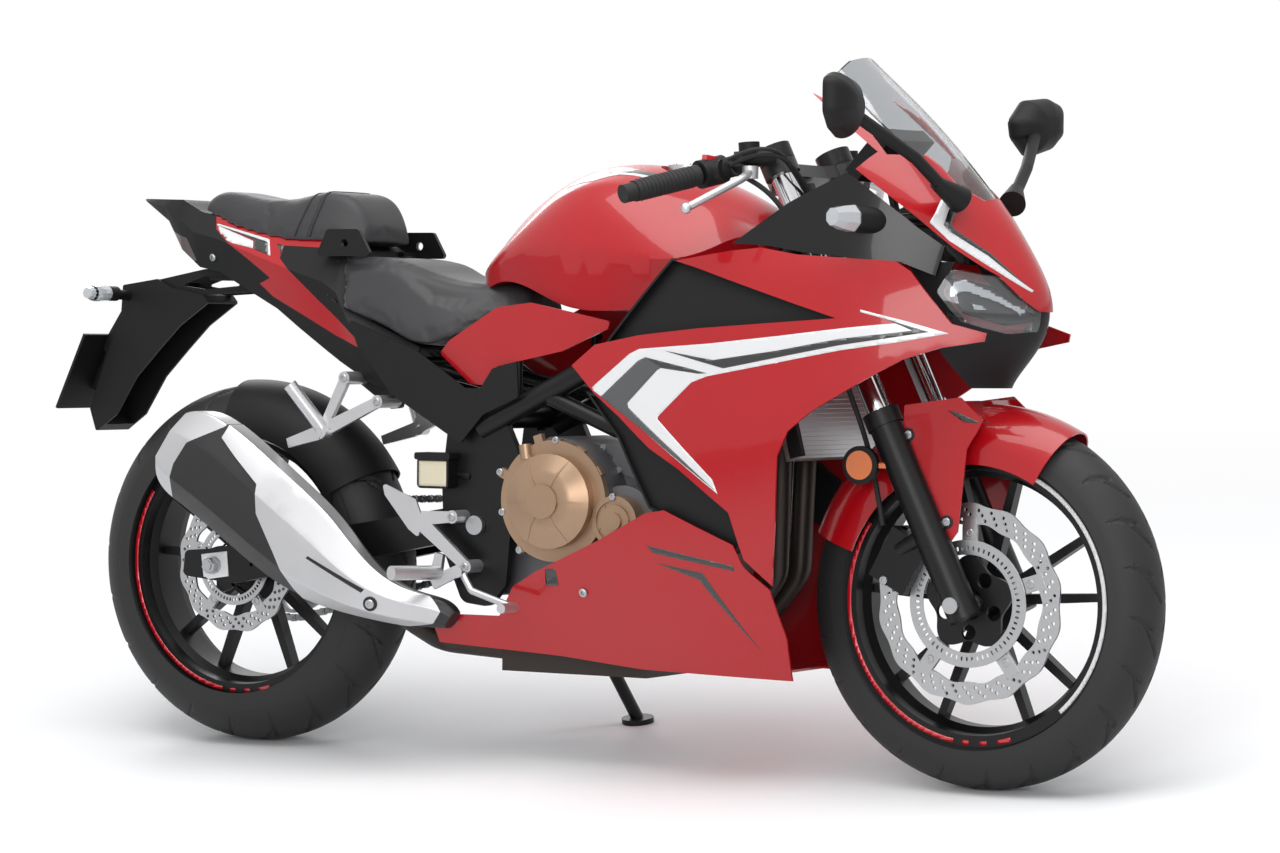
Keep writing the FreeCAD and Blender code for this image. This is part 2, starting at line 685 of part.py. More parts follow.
def swingarm():
    """A box-section swingarm: arms that bend outwards to the axle, a pivot tube and a cross member."""
    outline = [
        (PIVOT.x + 20, PIVOT.z + 24),
        (PIVOT.x - 60, PIVOT.z + 28),
        (REAR_AXLE_X - 10, REAR_AXLE.z + 28),
        (REAR_AXLE_X - 62, REAR_AXLE.z + 24),
        (REAR_AXLE_X - 66, REAR_AXLE.z - 20),
        (REAR_AXLE_X + 40, REAR_AXLE.z - 30),
        (PIVOT.x - 60, PIVOT.z - 30),
        (PIVOT.x + 20, PIVOT.z - 26),
    ]
    plan_inner = [
        (PIVOT.x + 40, -ARM_INNER_FRONT),
        (ARM_BEND_FRONT_X, -ARM_INNER_FRONT - 4),
        (ARM_BEND_REAR_X, -ARM_INNER_REAR),
        (REAR_AXLE_X - 80, -ARM_INNER_REAR),
    ]
    plan_outer = [(x, y - ARM_THICKNESS) for x, y in reversed(plan_inner)]
    side_shape = side_prism(outline, -ARM_INNER_REAR - 60, -20, 10)
    right = plan_prism(plan_inner + plan_outer, REAR_AXLE.z - 60, PIVOT.z + 60).common(side_shape)
    outer_limit = PIVOT_PLATE_Y - PIVOT_PLATE_THICKNESS / 2 - SEAT_GAP
    pivot_tube = cylinder(PIVOT - vec(0, outer_limit, 0), PIVOT + vec(0, outer_limit, 0), 26)
    cross = block(
        vec(PIVOT.x - 125, -ARM_INNER_FRONT - 2, PIVOT.z - 32), vec(PIVOT.x - 75, ARM_INNER_FRONT + 2, PIVOT.z + 16)
    )
    axle_hole = cylinder(REAR_AXLE - vec(0, 200, 0), REAR_AXLE + vec(0, 200, 0), AXLE_RADIUS)
    pivot_hole = cylinder(PIVOT - vec(0, 200, 0), PIVOT + vec(0, 200, 0), 10)
    wheel_room = cylinder(REAR_AXLE - vec(0, 130, 0), REAR_AXLE + vec(0, 130, 0), REAR_TYRE_RADIUS + 12)
    spool = cylinder(SPOOL_HOLE - vec(0, SPOOL_HOLE_DEPTH, 0), SPOOL_HOLE + vec(0, 1, 0), SPOOL_HOLE_RADIUS)
    holes = [axle_hole, pivot_hole, spool, mirrored(spool)]
    return fuse([right, mirrored(right), pivot_tube, cross.cut(wheel_room)]).cut(holes)


SPOOL_HOLE_RADIUS = 3.4
SPOOL_HOLE_DEPTH = 14.0
SPOOL_HOLE = vec(REAR_AXLE_X + 78, ARM_INNER_REAR + ARM_THICKNESS, REAR_AXLE.z + 4)


def rear_axle():
    """The spindle with its head, its nut and the spacers between hub and arms."""
    arm_outer = ARM_INNER_REAR + ARM_THICKNESS
    shaft = cylinder(REAR_AXLE - vec(0, arm_outer + 10, 0), REAR_AXLE + vec(0, arm_outer + 14, 0), AXLE_RADIUS)
    nut = cylinder(REAR_AXLE + vec(0, arm_outer, 0), REAR_AXLE + vec(0, arm_outer + 12, 0), 15)
    head = cylinder(REAR_AXLE - vec(0, arm_outer + 10, 0), REAR_AXLE - vec(0, arm_outer, 0), 15)
    right_spacer = cylinder(REAR_AXLE - vec(0, ARM_INNER_REAR, 0), REAR_AXLE - vec(0, REAR_HUB_HALF + 1, 0), 14)
    left_spacer = cylinder(REAR_AXLE + vec(0, CHAIN_Y + 5, 0), REAR_AXLE + vec(0, ARM_INNER_REAR, 0), 14)
    return fuse([shaft, nut, head, right_spacer, left_spacer])


def pivot_bolt():
    shaft = cylinder(PIVOT - vec(0, PIVOT_PLATE_Y + 16, 0), PIVOT + vec(0, PIVOT_PLATE_Y + 16, 0), 10)
    head = cylinder(PIVOT - vec(0, PIVOT_PLATE_Y + 18, 0), PIVOT - vec(0, PIVOT_PLATE_Y + 8, 0), 16)
    return fuse([shaft, head, mirrored(head)])


def pitch_radius(teeth):
    return CHAIN_PITCH / (2 * math.sin(math.pi / teeth))


FRONT_SPROCKET = vec(PIVOT.x + 78, CHAIN_Y, PIVOT.z + 6)
REAR_SPROCKET = vec(REAR_AXLE_X, CHAIN_Y, REAR_AXLE.z)


def chain_outline(offset):
    """The chain's loop about both sprockets at a distance from the pitch line, as a closed wire."""
    front_r = pitch_radius(FRONT_SPROCKET_TEETH) + offset
    rear_r = pitch_radius(REAR_SPROCKET_TEETH) + offset
    between = FRONT_SPROCKET - REAR_SPROCKET
    slope = math.atan2(between.z, between.x)
    spread = math.asin((rear_r - front_r) / between.Length)

    def on(centre, radius, angle):
        return centre + vec(radius * math.cos(angle), 0, radius * math.sin(angle))

    upper = slope + math.pi / 2 - spread
    lower = slope - math.pi / 2 + spread
    rear_top = on(REAR_SPROCKET, rear_r, upper)
    rear_low = on(REAR_SPROCKET, rear_r, lower)
    front_top = on(FRONT_SPROCKET, front_r, upper)
    front_low = on(FRONT_SPROCKET, front_r, lower)
    return Part.Wire(
        [
            Part.LineSegment(rear_top, front_top).toShape(),
            Part.Arc(front_top, on(FRONT_SPROCKET, front_r, slope), front_low).toShape(),
            Part.LineSegment(front_low, rear_low).toShape(),
            Part.Arc(rear_low, on(REAR_SPROCKET, rear_r, slope + math.pi), rear_top).toShape(),
        ]
    )


def chain():
    outer = Part.Face(chain_outline(CHAIN_PLATE_HEIGHT / 2))
    inner = Part.Face(chain_outline(-CHAIN_PLATE_HEIGHT / 2))
    loop = outer.cut(inner).extrude(vec(0, CHAIN_WIDTH, 0))
    loop.translate(vec(0, -CHAIN_WIDTH / 2, 0))
    return loop


def rear_sprocket():
    root = pitch_radius(REAR_SPROCKET_TEETH) - CHAIN_PLATE_HEIGHT / 2 - 1.0
    plate = ring(REAR_SPROCKET - vec(0, 3, 0), REAR_SPROCKET + vec(0, 3, 0), root, REAR_HUB_RADIUS)
    carrier = ring(
        REAR_AXLE + vec(0, REAR_HUB_HALF + SEAT_GAP, 0),
        REAR_AXLE + vec(0, CHAIN_Y - 3, 0),
        REAR_HUB_RADIUS + 20,
        HUB_BORE + 6,
    )
    windows = []
    for k in range(6):
        window = cylinder(
            REAR_SPROCKET + vec(0, -4, (root + REAR_HUB_RADIUS) / 2 + 8),
            REAR_SPROCKET + vec(0, 4, (root + REAR_HUB_RADIUS) / 2 + 8),
            15,
        )
        windows.append(turned_about_axle(window, REAR_AXLE, k * 60))
    return fuse([plate, carrier]).cut(fuse(windows))


HUGGER_CLEARANCE = 6.0
HUGGER_WALL = 3.0
HUGGER_FROM_DEG = -4.0
HUGGER_TO_DEG = 58.0


def rear_hugger():
    """The inner mudguard over the front of the rear tyre, with a foot on each arm."""
    inner = REAR_TYRE_HALF_WIDTH + HUGGER_CLEARANCE
    crown = REAR_TYRE_RADIUS - REAR_TYRE_HALF_WIDTH
    guard = crown_arch(REAR_AXLE, crown, inner, HUGGER_WALL, 2, HUGGER_FROM_DEG, HUGGER_TO_DEG)
    foot_x = REAR_AXLE_X + 196
    riser = block(vec(foot_x - 12, -inner - HUGGER_WALL, 360), vec(foot_x + 12, -inner, 440))
    step = block(vec(foot_x - 12, -120, 360), vec(foot_x + 12, -inner, 404))
    foot = fuse([riser, step]).cut(swingarm())
    return fuse([guard, foot, mirrored(foot)])


# Engine and exhaust

ENGINE_HALF_WIDTH = 88.0
COVER_Y = 150.0
CLUTCH_CENTRE = vec(-8, -COVER_Y, 444)


def engine_block():
    """Crankcase, cylinder block and head of the parallel twin as one closed casting."""
    crankcase = side_prism(
        [(-150, 300), (-120, 250), (60, 236), (200, 262), (236, 330), (232, 440), (120, 530), (-60, 548), (-150, 480)],
        -ENGINE_HALF_WIDTH,
        ENGINE_HALF_WIDTH,
        16,
    )
    cylinders = side_prism(
        [(60, 500), (210, 440), (330, 650), (300, 700), (190, 742), (140, 700)], -ENGINE_HALF_WIDTH - 8, ENGINE_HALF_WIDTH + 8, 12
    )
    cases = cylinder(vec(CLUTCH_CENTRE.x, -COVER_Y, CLUTCH_CENTRE.z), vec(CLUTCH_CENTRE.x, 0, CLUTCH_CENTRE.z), 100)
    small_case = cylinder(SMALL_CASE, vec(SMALL_CASE.x, COVER_Y - 20, SMALL_CASE.z), 58)
    alternator = cylinder(vec(60, 0, 430), vec(60, COVER_Y - 10, 430), 84)
    pivot_room = cylinder(PIVOT - vec(0, 140, 0), PIVOT + vec(0, 140, 0), 27)
    return fuse([crankcase, cylinders, cases, small_case, alternator]).cut([main_frame(), pivot_room])


COVER_BOLTS = [(-111, 489), (-41, 552), (-4, 546), (44, 532), (80, 497), (-106, 423), (-72, 361)]
FLANGE_RADIUS = 100.0
DOME_RADIUS = 78.0
DOME_FLAT_RADIUS = 44.0
DOME_CAP_RADIUS = 28.0
SMALL_CASE = vec(110, -COVER_Y + 14, 414)


def cover_rib(angle):
    """One of the thin ribs that run down the clutch dome."""
    start = CLUTCH_CENTRE
    profile = [(26, 42), (26, 47.5), (44, 47.5), (77, 31.5), (77, 26), (44, 42)]
    wire = Part.makePolygon([start + vec(-1.5, -y, r) for r, y in profile + profile[:1]])
    rib = Part.Face(wire).extrude(vec(3, 0, 0))
    return turned_about_axle(rib, start, angle)


def clutch_cover():
    """The flanged cover with its ribbed dome, and the small ignition cover ahead of it."""
    start = CLUTCH_CENTRE - vec(0, SEAT_GAP, 0)
    flange = cylinder(start, start - vec(0, 13, 0), FLANGE_RADIUS)
    lobes = []
    for x, z in COVER_BOLTS:
        lobe = limb((CLUTCH_CENTRE.x, CLUTCH_CENTRE.z), (x, z), 8, 8, start.y - 11, start.y)
        lobes.append(lobe)
    barrel = cylinder(start, start - vec(0, 30, 0), DOME_RADIUS)
    dome = cone(start - vec(0, 30, 0), start - vec(0, 46, 0), DOME_RADIUS, DOME_FLAT_RADIUS)
    cap = cylinder(start - vec(0, 46, 0), start - vec(0, 50, 0), DOME_CAP_RADIUS)
    ribs = [cover_rib(30 + step * 60) for step in range(6)]
    neck = cylinder(vec(-58, -COVER_Y - 14, 512), vec(-62, -COVER_Y - 14, 536), 11)
    neck_foot = cylinder(vec(-58, -COVER_Y - SEAT_GAP, 510), vec(-58, -COVER_Y - 22, 510), 13)
    face = SMALL_CASE - vec(0, SEAT_GAP, 0)
    case_room = cylinder(CLUTCH_CENTRE + vec(0, 60, 0), start, FLANGE_RADIUS + SEAT_GAP)
    small = cylinder(face, face - vec(0, 30, 0), 42).cut(case_room)
    groove = ring(face - vec(0, 26, 0), face - vec(0, 40, 0), 34, 27)
    nut = cylinder(face - vec(0, 30, 0), face - vec(0, 34, 0), 14)
    main = fuse([flange, barrel, dome, cap, neck, neck_foot] + ribs + lobes)
    return fuse([main, small.cut(groove), nut])


def exhaust():
    """Two headers that run down in front of the engine to a collector under it."""
    headers = []
    for side in (-1, 1):
        headers.append(
            pipe(
                [
                    vec(300, side * 44, 600),
                    vec(352, side * 44, 560),
                    vec(345, side * 40, 330),
                    vec(262, side * 34, 226),
                    vec(90, side * 30, 206),
                ],
                19,
                48,
            )
        )
    collector = block(vec(-160, -70, 152), vec(120, 70, 226))
    link = pipe([vec(-150, -44, 188), vec(-292, -48, 196), vec(-298, -120, 228), vec(-322, -168, 262)], 20, 30)
    return fuse(headers + [collector, link]).cut([engine_block(), muffler_form()])


# Silencer: sections square to its axis, each with its place along the axis, its lower and upper
# edge, the middle of its width and its half width
MUFFLER_BASE = vec(-300, 0, 255)
MUFFLER_RISE_DEG = 34.0
MUFFLER_SECTIONS = [
    (-86, 22, 56, -152, 16),
    (-15, -18, 44, -168, 30),
    (66, -54, 34, -182, 38),
    (180, -90, 58, -190, 44),
    (295, -98, 67, -192, 46),
    (441, -100, 69, -193, 47),
    (492, -99, 58, -193, 45),
    (524, -82, 34, -193, 36),
]
SHIELD_THICKNESS = 3.0
TAILPIPE_RADIUS = 21.0


def muffler_point(along, up, y):
    rise = math.radians(MUFFLER_RISE_DEG)
    rearwards = vec(-math.cos(rise), 0, math.sin(rise))
    upwards = vec(math.sin(rise), 0, math.cos(rise))
    return MUFFLER_BASE + rearwards * along + upwards * up + vec(0, y, 0)


def muffler_form(grow=0.0):
    """The silencer's outer form, an eight-sided section that swells towards the rear."""
    wires = []
    for along, low, high, middle, half in MUFFLER_SECTIONS:
        low -= grow
        high += grow
        half += grow
        height = high - low
        corners = []
        for up, side in [
            (low, 0.45),
            (low + height * 0.22, 1.0),
            (high - height * 0.32, 1.0),
            (high, 0.5),
            (high, -0.5),
            (high - height * 0.32, -1.0),
            (low + height * 0.22, -1.0),
            (low, -0.45),
        ]:
            corners.append(muffler_point(along, up, middle - side * half))
        wires.append(rounded_wire(corners, 5))
    return loft(wires)


CAP_SEAM = [(463, -140), (463, -99), (480, -41), (478, 4), (440, 64), (436, 140)]
SHIELD_OUTLINE = [
    (-613, 572),
    (-628, 536),
    (-598, 505),
    (-550, 459),
    (-547, 409),
    (-513, 345),
    (-483, 283),
    (-440, 230),
    (-200, 200),
    (-150, 262),
    (-247, 300),
    (-398, 420),
    (-540, 530),
]
SHIELD_SLOT = [(-448, 337), (-444, 341), (-340, 288), (-346, 282)]


def muffler_side(points):
    """A cutting tool from points given along and across the silencer's axis."""
    wire = Part.makePolygon([muffler_point(a, b, -300) for a, b in points + points[:1]])
    return Part.Face(wire).extrude(vec(0, 300, 0))


def muffler():
    """The black silencer body."""
    behind = muffler_side(CAP_SEAM + [(700, 140), (700, -140)])
    return muffler_form().cut(behind)


def muffler_cap():
    """The brushed end cap with its outlet."""
    behind = muffler_side(CAP_SEAM + [(700, 140), (700, -140)])
    middle = MUFFLER_SECTIONS[-1][3]
    outlet = cylinder(muffler_point(400, -28, middle), muffler_point(600, -28, middle), TAILPIPE_RADIUS)
    return muffler_form().common(behind).cut(outlet)


def muffler_shield():
    """The satin heat shield over the outer side, with a long slot."""
    middle = MUFFLER_SECTIONS[3][3]
    skin = muffler_form(SHIELD_THICKNESS).cut(muffler_form())
    outside = side_prism(SHIELD_OUTLINE, -300, middle + 12)
    return skin.common(outside).cut(side_prism(SHIELD_SLOT, -300, -100))


RADIATOR_CENTRE = vec(400, 0, 640)
RADIATOR_HALF_WIDTH = 150.0
RADIATOR_HALF_DEPTH = 12.0
RADIATOR_BELOW, RADIATOR_ABOVE = 122.0, 118.0
RADIATOR_RAKE_DEG = 14.0


def radiator():
    core = block(
        vec(-RADIATOR_HALF_DEPTH, -RADIATOR_HALF_WIDTH, -RADIATOR_BELOW),
        vec(RADIATOR_HALF_DEPTH, RADIATOR_HALF_WIDTH, RADIATOR_ABOVE),
    )
    core.rotate(vec(0, 0, 0), vec(0, 1, 0), -RADIATOR_RAKE_DEG)
    core.translate(RADIATOR_CENTRE)
    return core


# Body panels: the fairing's skin is one lofted surface, and each panel is cut from it

FAIRING_STATIONS = [
    (-330, [96, 120, 140, 150, 150, 145, 140, 130]),
    (-150, [98, 136, 168, 184, 188, 184, 174, 160]),
    (40, [104, 150, 186, 205, 210, 205, 194, 174]),
    (170, [110, 162, 200, 222, 230, 226, 214, 190]),
    (300, [112, 168, 207, 230, 240, 242, 232, 204]),
    (430, [108, 163, 202, 227, 240, 243, 234, 205]),
    (560, [96, 142, 178, 205, 224, 231, 224, 196]),
    (680, [80, 112, 140, 166, 186, 197, 194, 172]),
    (800, [60, 84, 106, 124, 140, 150, 150, 138]),
]
FAIRING_LEVELS = [140, 240, 340, 450, 560, 670, 780, 880]


def fairing_solid(inset):
    """The right half of the fairing's outer form, moved inwards by an inset."""
    wires = []
    for x, widths in FAIRING_STATIONS:
        outer = [vec(x, -width + inset, z) for width, z in zip(widths, FAIRING_LEVELS)]
        top = vec(x, 0, FAIRING_LEVELS[-1])
        bottom = vec(x, 0, FAIRING_LEVELS[0])
        wires.append(creased_wire([outer, [outer[-1], top], [top, bottom], [bottom, outer[0]]]))
    return loft(wires)


def fairing_panel(outline, inset=0.0, radii=0):
    """A right panel of the fairing's skin inside a side view outline of (x, z) points."""
    skin = fairing_solid(inset).cut(fairing_solid(inset + PANEL_WALL))
    return skin.common(side_prism(outline, -400, -20, radii))


SIDE_PANEL = [
    (51, 668),
    (97, 702),
    (186, 718),
    (301, 730),
    (545, 748),
    (292, 826),
    (246, 838),
    (347, 854),
    (402, 859),
    (467, 848),
    (631, 838),
    (656, 822),
    (721, 741),
    (771, 727),
    (768, 714),
    (704, 703),
    (649, 684),
    (578, 644),
    (505, 601),
    (466, 570),
    (446, 530),
    (436, 420),
    (420, 322),
    (376, 363),
    (356, 438),
    (269, 504),
    (213, 537),
    (152, 587),
    (99, 624),
]

BELLY_PANEL = [
    (-255, 198),
    (-262, 228),
    (-214, 248),
    (-123, 249),
    (-85, 300),
    (-34, 327),
    (104, 385),
    (200, 432),
    (236, 438),
    (359, 386),
    (374, 350),
    (414, 316),
    (428, 236),
    (420, 166),
    (141, 172),
    (-11, 186),
]

DUCT_PANEL = [(106, 694), (236, 842), (300, 838), (552, 761), (568, 730), (300, 712), (177, 696)]

BLADE_PANEL = [(80, 626), (149, 551), (206, 440), (239, 426), (362, 372), (382, 400), (366, 446), (212, 555), (140, 614)]

UPPER_SIDE_PANEL = [
    (340, 866),
    (440, 930),
    (540, 978),
    (624, 910),
    (684, 862),
    (672, 816),
    (632, 834),
    (467, 852),
    (402, 863),
]


def side_fairing():
    return fairing_panel(SIDE_PANEL)


def recessed_panel(outline, depth):
    """A tray behind a coloured panel: a floor at a depth and a wall all round that reaches the panel's back."""
    edge = Part.Face(rounded_wire([vec(x, 0, z) for x, z in outline], 0))
    inner_edge = edge.makeOffset2D(-PANEL_WALL)
    whole = edge.extrude(vec(0, -400, 0))
    hollow = inner_edge.extrude(vec(0, -400, 0))
    tray = fairing_solid(PANEL_WALL).cut(fairing_solid(depth + PANEL_WALL)).common(whole)
    room = fairing_solid(0).cut(fairing_solid(depth)).common(hollow)
    return tray.cut(room)


def side_inner_panel():
    """The dark duct and the inner blade, which sit deeper than the coloured panel."""
    return group([recessed_panel(DUCT_PANEL, 16), recessed_panel(BLADE_PANEL, 12)])


def belly_pan():
    """The two lower sides, joined by a floor ahead of the collector."""
    side = fairing_panel(BELLY_PANEL)
    floor_z = 172.0
    floor = plan_prism([(150, -200), (372, -200), (372, 0), (150, 0)], floor_z, floor_z + PANEL_WALL)
    floor = floor.common(fairing_solid(1))
    return fuse([side, mirrored(side), floor, mirrored(floor)])


def fairing_brackets():
    """Short struts from the frame, the engine and the radiator out to the inner faces of the panels."""
    inside = fairing_solid(PANEL_WALL)
    side_strut = cylinder(vec(262, -118, 640), vec(262, -300, 640), 8).common(inside).cut(main_frame())
    belly_strut = cylinder(vec(40, -ENGINE_HALF_WIDTH, 300), vec(40, -300, 300), 8).common(inside)
    radiator_strut = cylinder(vec(287, -106, 690), vec(388, -120, 690), 8).cut([main_frame(), radiator()])
    post = cylinder(vec(-100, -125, 595), vec(-100, -125, 722), 7)
    stub = cylinder(vec(-100, -125, 715), vec(-100, -300, 715), 7)
    cover_strut = fuse([post, stub]).cut([main_frame(), tank_cover_room()])
    right = [side_strut, belly_strut, radiator_strut, cover_strut]
    return group(right + [mirrored(shape) for shape in right])


# Head fairing: plan sections from the chin up to the top of the screen

HEAD_LEVELS = [
    (640, [(742, 0), (722, 50), (684, 92), (628, 122), (560, 136)]),
    (700, [(784, 0), (758, 60), (712, 106), (640, 140), (560, 152)]),
    (762, [(805, 0), (780, 62), (730, 115), (650, 152), (560, 166)]),
    (830, [(785, 0), (757, 62), (712, 115), (640, 155), (545, 174)]),
    (900, [(742, 0), (715, 62), (672, 115), (605, 158), (520, 181)]),
    (984, [(676, 0), (650, 62), (610, 115), (548, 162), (470, 186)]),
    (1060, [(605, 0), (582, 60), (545, 109), (495, 148), (420, 172)]),
    (1130, [(529, 0), (509, 56), (474, 100), (430, 134), (370, 156)]),
    (1180, [(474, 0), (456, 52), (424, 92), (384, 122), (330, 142)]),
]


def head_solid(inset):
    wires = []
    for z, half in HEAD_LEVELS:
        right = [vec(x - inset, -max(y - inset, 0) if y else 0, z) for x, y in half]
        left = [vec(p.x, -p.y, p.z) for p in right]
        front = list(reversed(right)) + left[1:]
        wires.append(creased_wire([front, [front[-1], front[0]]]))
    return loft(wires)


def head_panel(outline, inset, wall, radii=0):
    skin = head_solid(inset).cut(head_solid(inset + wall))
    return skin.common(side_prism(outline, -300, 300, radii))


COWL_OUTLINE = [
    (830, 757),
    (800, 762),
    (754, 816),
    (735, 829),
    (693, 860),
    (631, 914),
    (543, 984),
    (566, 1012),
    (452, 1106),
    (587, 1036),
    (640, 992),
    (668, 962),
    (706, 936),
    (722, 950),
    (800, 900),
    (850, 800),
]

SCREEN_OUTLINE = [
    (704, 926),
    (730, 944),
    (640, 1080),
    (500, 1185),
    (470, 1162),
    (466, 1136),
    (560, 1050),
    (630, 985),
    (660, 950),
]


def nose_cowl():
    """The painted nose and the two fins that flank the screen."""
    skin = head_panel(COWL_OUTLINE, 0, PANEL_WALL)
    screen_gap = front_prism([(-126, 1008), (126, 1008), (112, 1200), (-112, 1200)], 300, 640)
    return skin.cut(screen_gap)


def windscreen():
    skin = head_panel(SCREEN_OUTLINE, PANEL_WALL, SCREEN_WALL)
    width = front_prism(
        [(-60, 900), (60, 900), (120, 960), (122, 1040), (94, 1172), (-94, 1172), (-122, 1040), (-120, 960)],
        300,
        900,
        [20, 20, 30, 30, 40, 40, 30, 30],
    )
    return skin.common(width)


HEADLIGHT_OUTLINE = [(696, 818), (684, 792), (712, 752), (764, 734), (830, 744), (830, 757), (798, 757), (748, 806)]
LAMP_DEPTH = 16.0
LAMP_RIM = 8.0


def headlights():
    """Two slanted lenses in the nose, whose rims sit behind the edge of the cowl."""
    face = Part.Face(rounded_wire([vec(x, 0, z) for x, z in HEADLIGHT_OUTLINE], 0))
    wide = face.makeOffset2D(LAMP_RIM)
    wide.translate(vec(0, 400, 0))
    lens = head_solid(PANEL_WALL).cut(head_solid(PANEL_WALL + LAMP_DEPTH)).common(wide.extrude(vec(0, -800, 0)))
    keep = block(vec(500, -300, 500), vec(900, -16, 1000))
    return both_sides(lens.common(keep))


NOSE_MASK_OUTLINE = [
    (704, 634),
    (790, 640),
    (830, 700),
    (830, 742),
    (764, 731),
    (710, 748),
    (690, 760),
    (672, 700),
]
CHIN_OUTLINE = [(760, 720), (840, 720), (840, 780), (774, 776)]


def nose_mask():
    """The dark chin under the lamps and the narrow bridge between them."""
    bridge = head_panel(CHIN_OUTLINE, PANEL_WALL, PANEL_WALL).common(block(vec(500, -14, 500), vec(900, 14, 1000)))
    return fuse([head_panel(NOSE_MASK_OUTLINE, PANEL_WALL, PANEL_WALL), bridge]).cut(headlights())


def upper_side_panel():
    """The dark panel between the painted arm and the nose, set in from both."""
    outline = side_prism(UPPER_SIDE_PANEL, -400, -20)
    outer_edge = [(330, -196), (470, -196), (560, -186), (640, -158), (716, -112)]
    inner_edge = [(x - 2, y + PANEL_WALL) for x, y in reversed(outer_edge)]
    return plan_prism(outer_edge + inner_edge, 700, 1000).common(outline)


def fairing_stay():
    """The tube stay from the steering head that carries the nose, the clock and the upper panels."""
    beam = cylinder(on_steering(985, 28), vec(560, 0, 905), 14)
    cross = cylinder(vec(556, -230, 905), vec(556, 230, 905), 9)
    stems = [cylinder(vec(556, side * 40, 905), vec(530, side * 40, 1012), 7) for side in (-1, 1)]
    horns = [cylinder(vec(556, side * 100, 905), vec(720, side * 112, 905), 8) for side in (-1, 1)]
    stay = fuse([beam, cross] + stems + [horn.common(head_solid(PANEL_WALL)) for horn in horns])
    outer = [(330, -196), (470, -196), (560, -186), (640, -158), (640, -300), (330, -300)]
    beyond = plan_prism(outer, 700, 1000)
    return stay.cut([main_frame(), instrument_panel(), upper_side_panel(), mirrored(upper_side_panel()), beyond, mirrored(beyond)])


# Tank, seats and tail

TANK_STATIONS = [
    (-216, 834, 30, 824, 46, 815, 44, 806),
    (-170, 892, 62, 862, 88, 832, 84, 802),
    (-98, 952, 90, 912, 120, 856, 112, 798),
    (0, 995, 108, 958, 148, 862, 138, 764),
    (100, 1000, 112, 962, 164, 852, 150, 758),
    (181, 984, 106, 946, 166, 842, 150, 766),
    (270, 950, 88, 916, 148, 858, 132, 806),
    (345, 912, 60, 894, 108, 872, 96, 840),
]


def tank_wire(station):
    x, top, shoulder_y, shoulder_z, side_y, side_z, foot_y, foot_z = station
    crown = [vec(x, -shoulder_y, shoulder_z), vec(x, 0, top), vec(x, shoulder_y, shoulder_z)]
    left = [
        vec(x, shoulder_y, shoulder_z),
        vec(x, (shoulder_y + side_y) / 2 + 8, (shoulder_z + side_z) / 2),
        vec(x, side_y, side_z),
    ]
    lower_left = [vec(x, side_y, side_z), vec(x, foot_y, foot_z)]
    base = [vec(x, foot_y, foot_z), vec(x, -foot_y, foot_z)]
    lower_right = [vec(x, -foot_y, foot_z), vec(x, -side_y, side_z)]
    right = [
        vec(x, -side_y, side_z),
        vec(x, -(shoulder_y + side_y) / 2 - 8, (shoulder_z + side_z) / 2),
        vec(x, -shoulder_y, shoulder_z),
    ]
    return creased_wire([crown, left, lower_left, base, lower_right, right])


FUEL_LID_X = 150.0
FUEL_LID_RADIUS = 34.0
FUEL_LID_HEIGHT = 12.0
FUEL_LID_TOP = 1000.0
LID_HINGE = vec(FUEL_LID_X + FUEL_LID_RADIUS + 2, 0, FUEL_LID_TOP - 4)
LID_HINGE_RADIUS = 4.0
FORK_SWING_GAP = 7.0


def fork_swing_room():
    """The space that the fork tubes sweep into at both ends of the steering."""
    rooms = []
    for side in (-1, 1):
        low = on_steering(FORK_TUBE_BOTTOM, FORK_OFFSET, side * FORK_SPREAD)
        high = on_steering(FORK_TOP + 10, FORK_OFFSET, side * FORK_SPREAD)
        room = cylinder(low, high, FORK_TUBE_RADIUS + FORK_SWING_GAP)
        room.rotate(STEER_GROUND, STEER_DIRECTION, side * STEER_LIMIT_DEG)
        rooms.append(room)
    return rooms


def fuel_tank():
    body = loft([tank_wire(station) for station in TANK_STATIONS])
    boss_low = vec(FUEL_LID_X, 0, FUEL_LID_TOP - 40)
    boss = cylinder(boss_low, vec(FUEL_LID_X, 0, FUEL_LID_TOP - FUEL_LID_HEIGHT - 1), FUEL_LID_RADIUS + 6)
    dish = cylinder(
        vec(FUEL_LID_X, 0, FUEL_LID_TOP - FUEL_LID_HEIGHT - 0.5), vec(FUEL_LID_X, 0, FUEL_LID_TOP + 40), FUEL_LID_RADIUS + 12
    )
    tunnel = block(vec(-160, -52, 740), vec(340, 52, 800))
    return fuse([body, boss]).cut([dish, tunnel, main_frame()] + fork_swing_room())


def fuel_lid():
    """The round lid with the barrel of its hinge at the front."""
    base = vec(FUEL_LID_X, 0, FUEL_LID_TOP - FUEL_LID_HEIGHT)
    lid = cylinder(base, base + vec(0, 0, FUEL_LID_HEIGHT), FUEL_LID_RADIUS)
    barrel = cylinder(LID_HINGE - vec(0, 11, 0), LID_HINGE + vec(0, 11, 0), LID_HINGE_RADIUS)
    return fuse([lid, barrel])


TANK_COVER = [
    (-135, 762),
    (-64, 770),
    (99, 740),
    (94, 728),
    (1, 690),
    (-134, 664),
    (-160, 632),
    (-192, 633),
    (-262, 684),
    (-240, 706),
]


COVER_OUTER = [(-280, -112), (-160, -134), (0, -156), (120, -168)]
COVER_THICKNESS = 5.0


def tank_cover_room():
    """Everything outside the inner face of the right cover."""
    inner_face = [(x, y + COVER_THICKNESS) for x, y in COVER_OUTER]
    return plan_prism(inner_face + [(120, -320), (-280, -320)], 560, 860)


def tank_covers():
    inner_face = [(x, y + COVER_THICKNESS) for x, y in reversed(COVER_OUTER)]
    right = plan_prism(COVER_OUTER + inner_face, 600, 840).common(side_prism(TANK_COVER, -300, -20, 6))
    return both_sides(right)


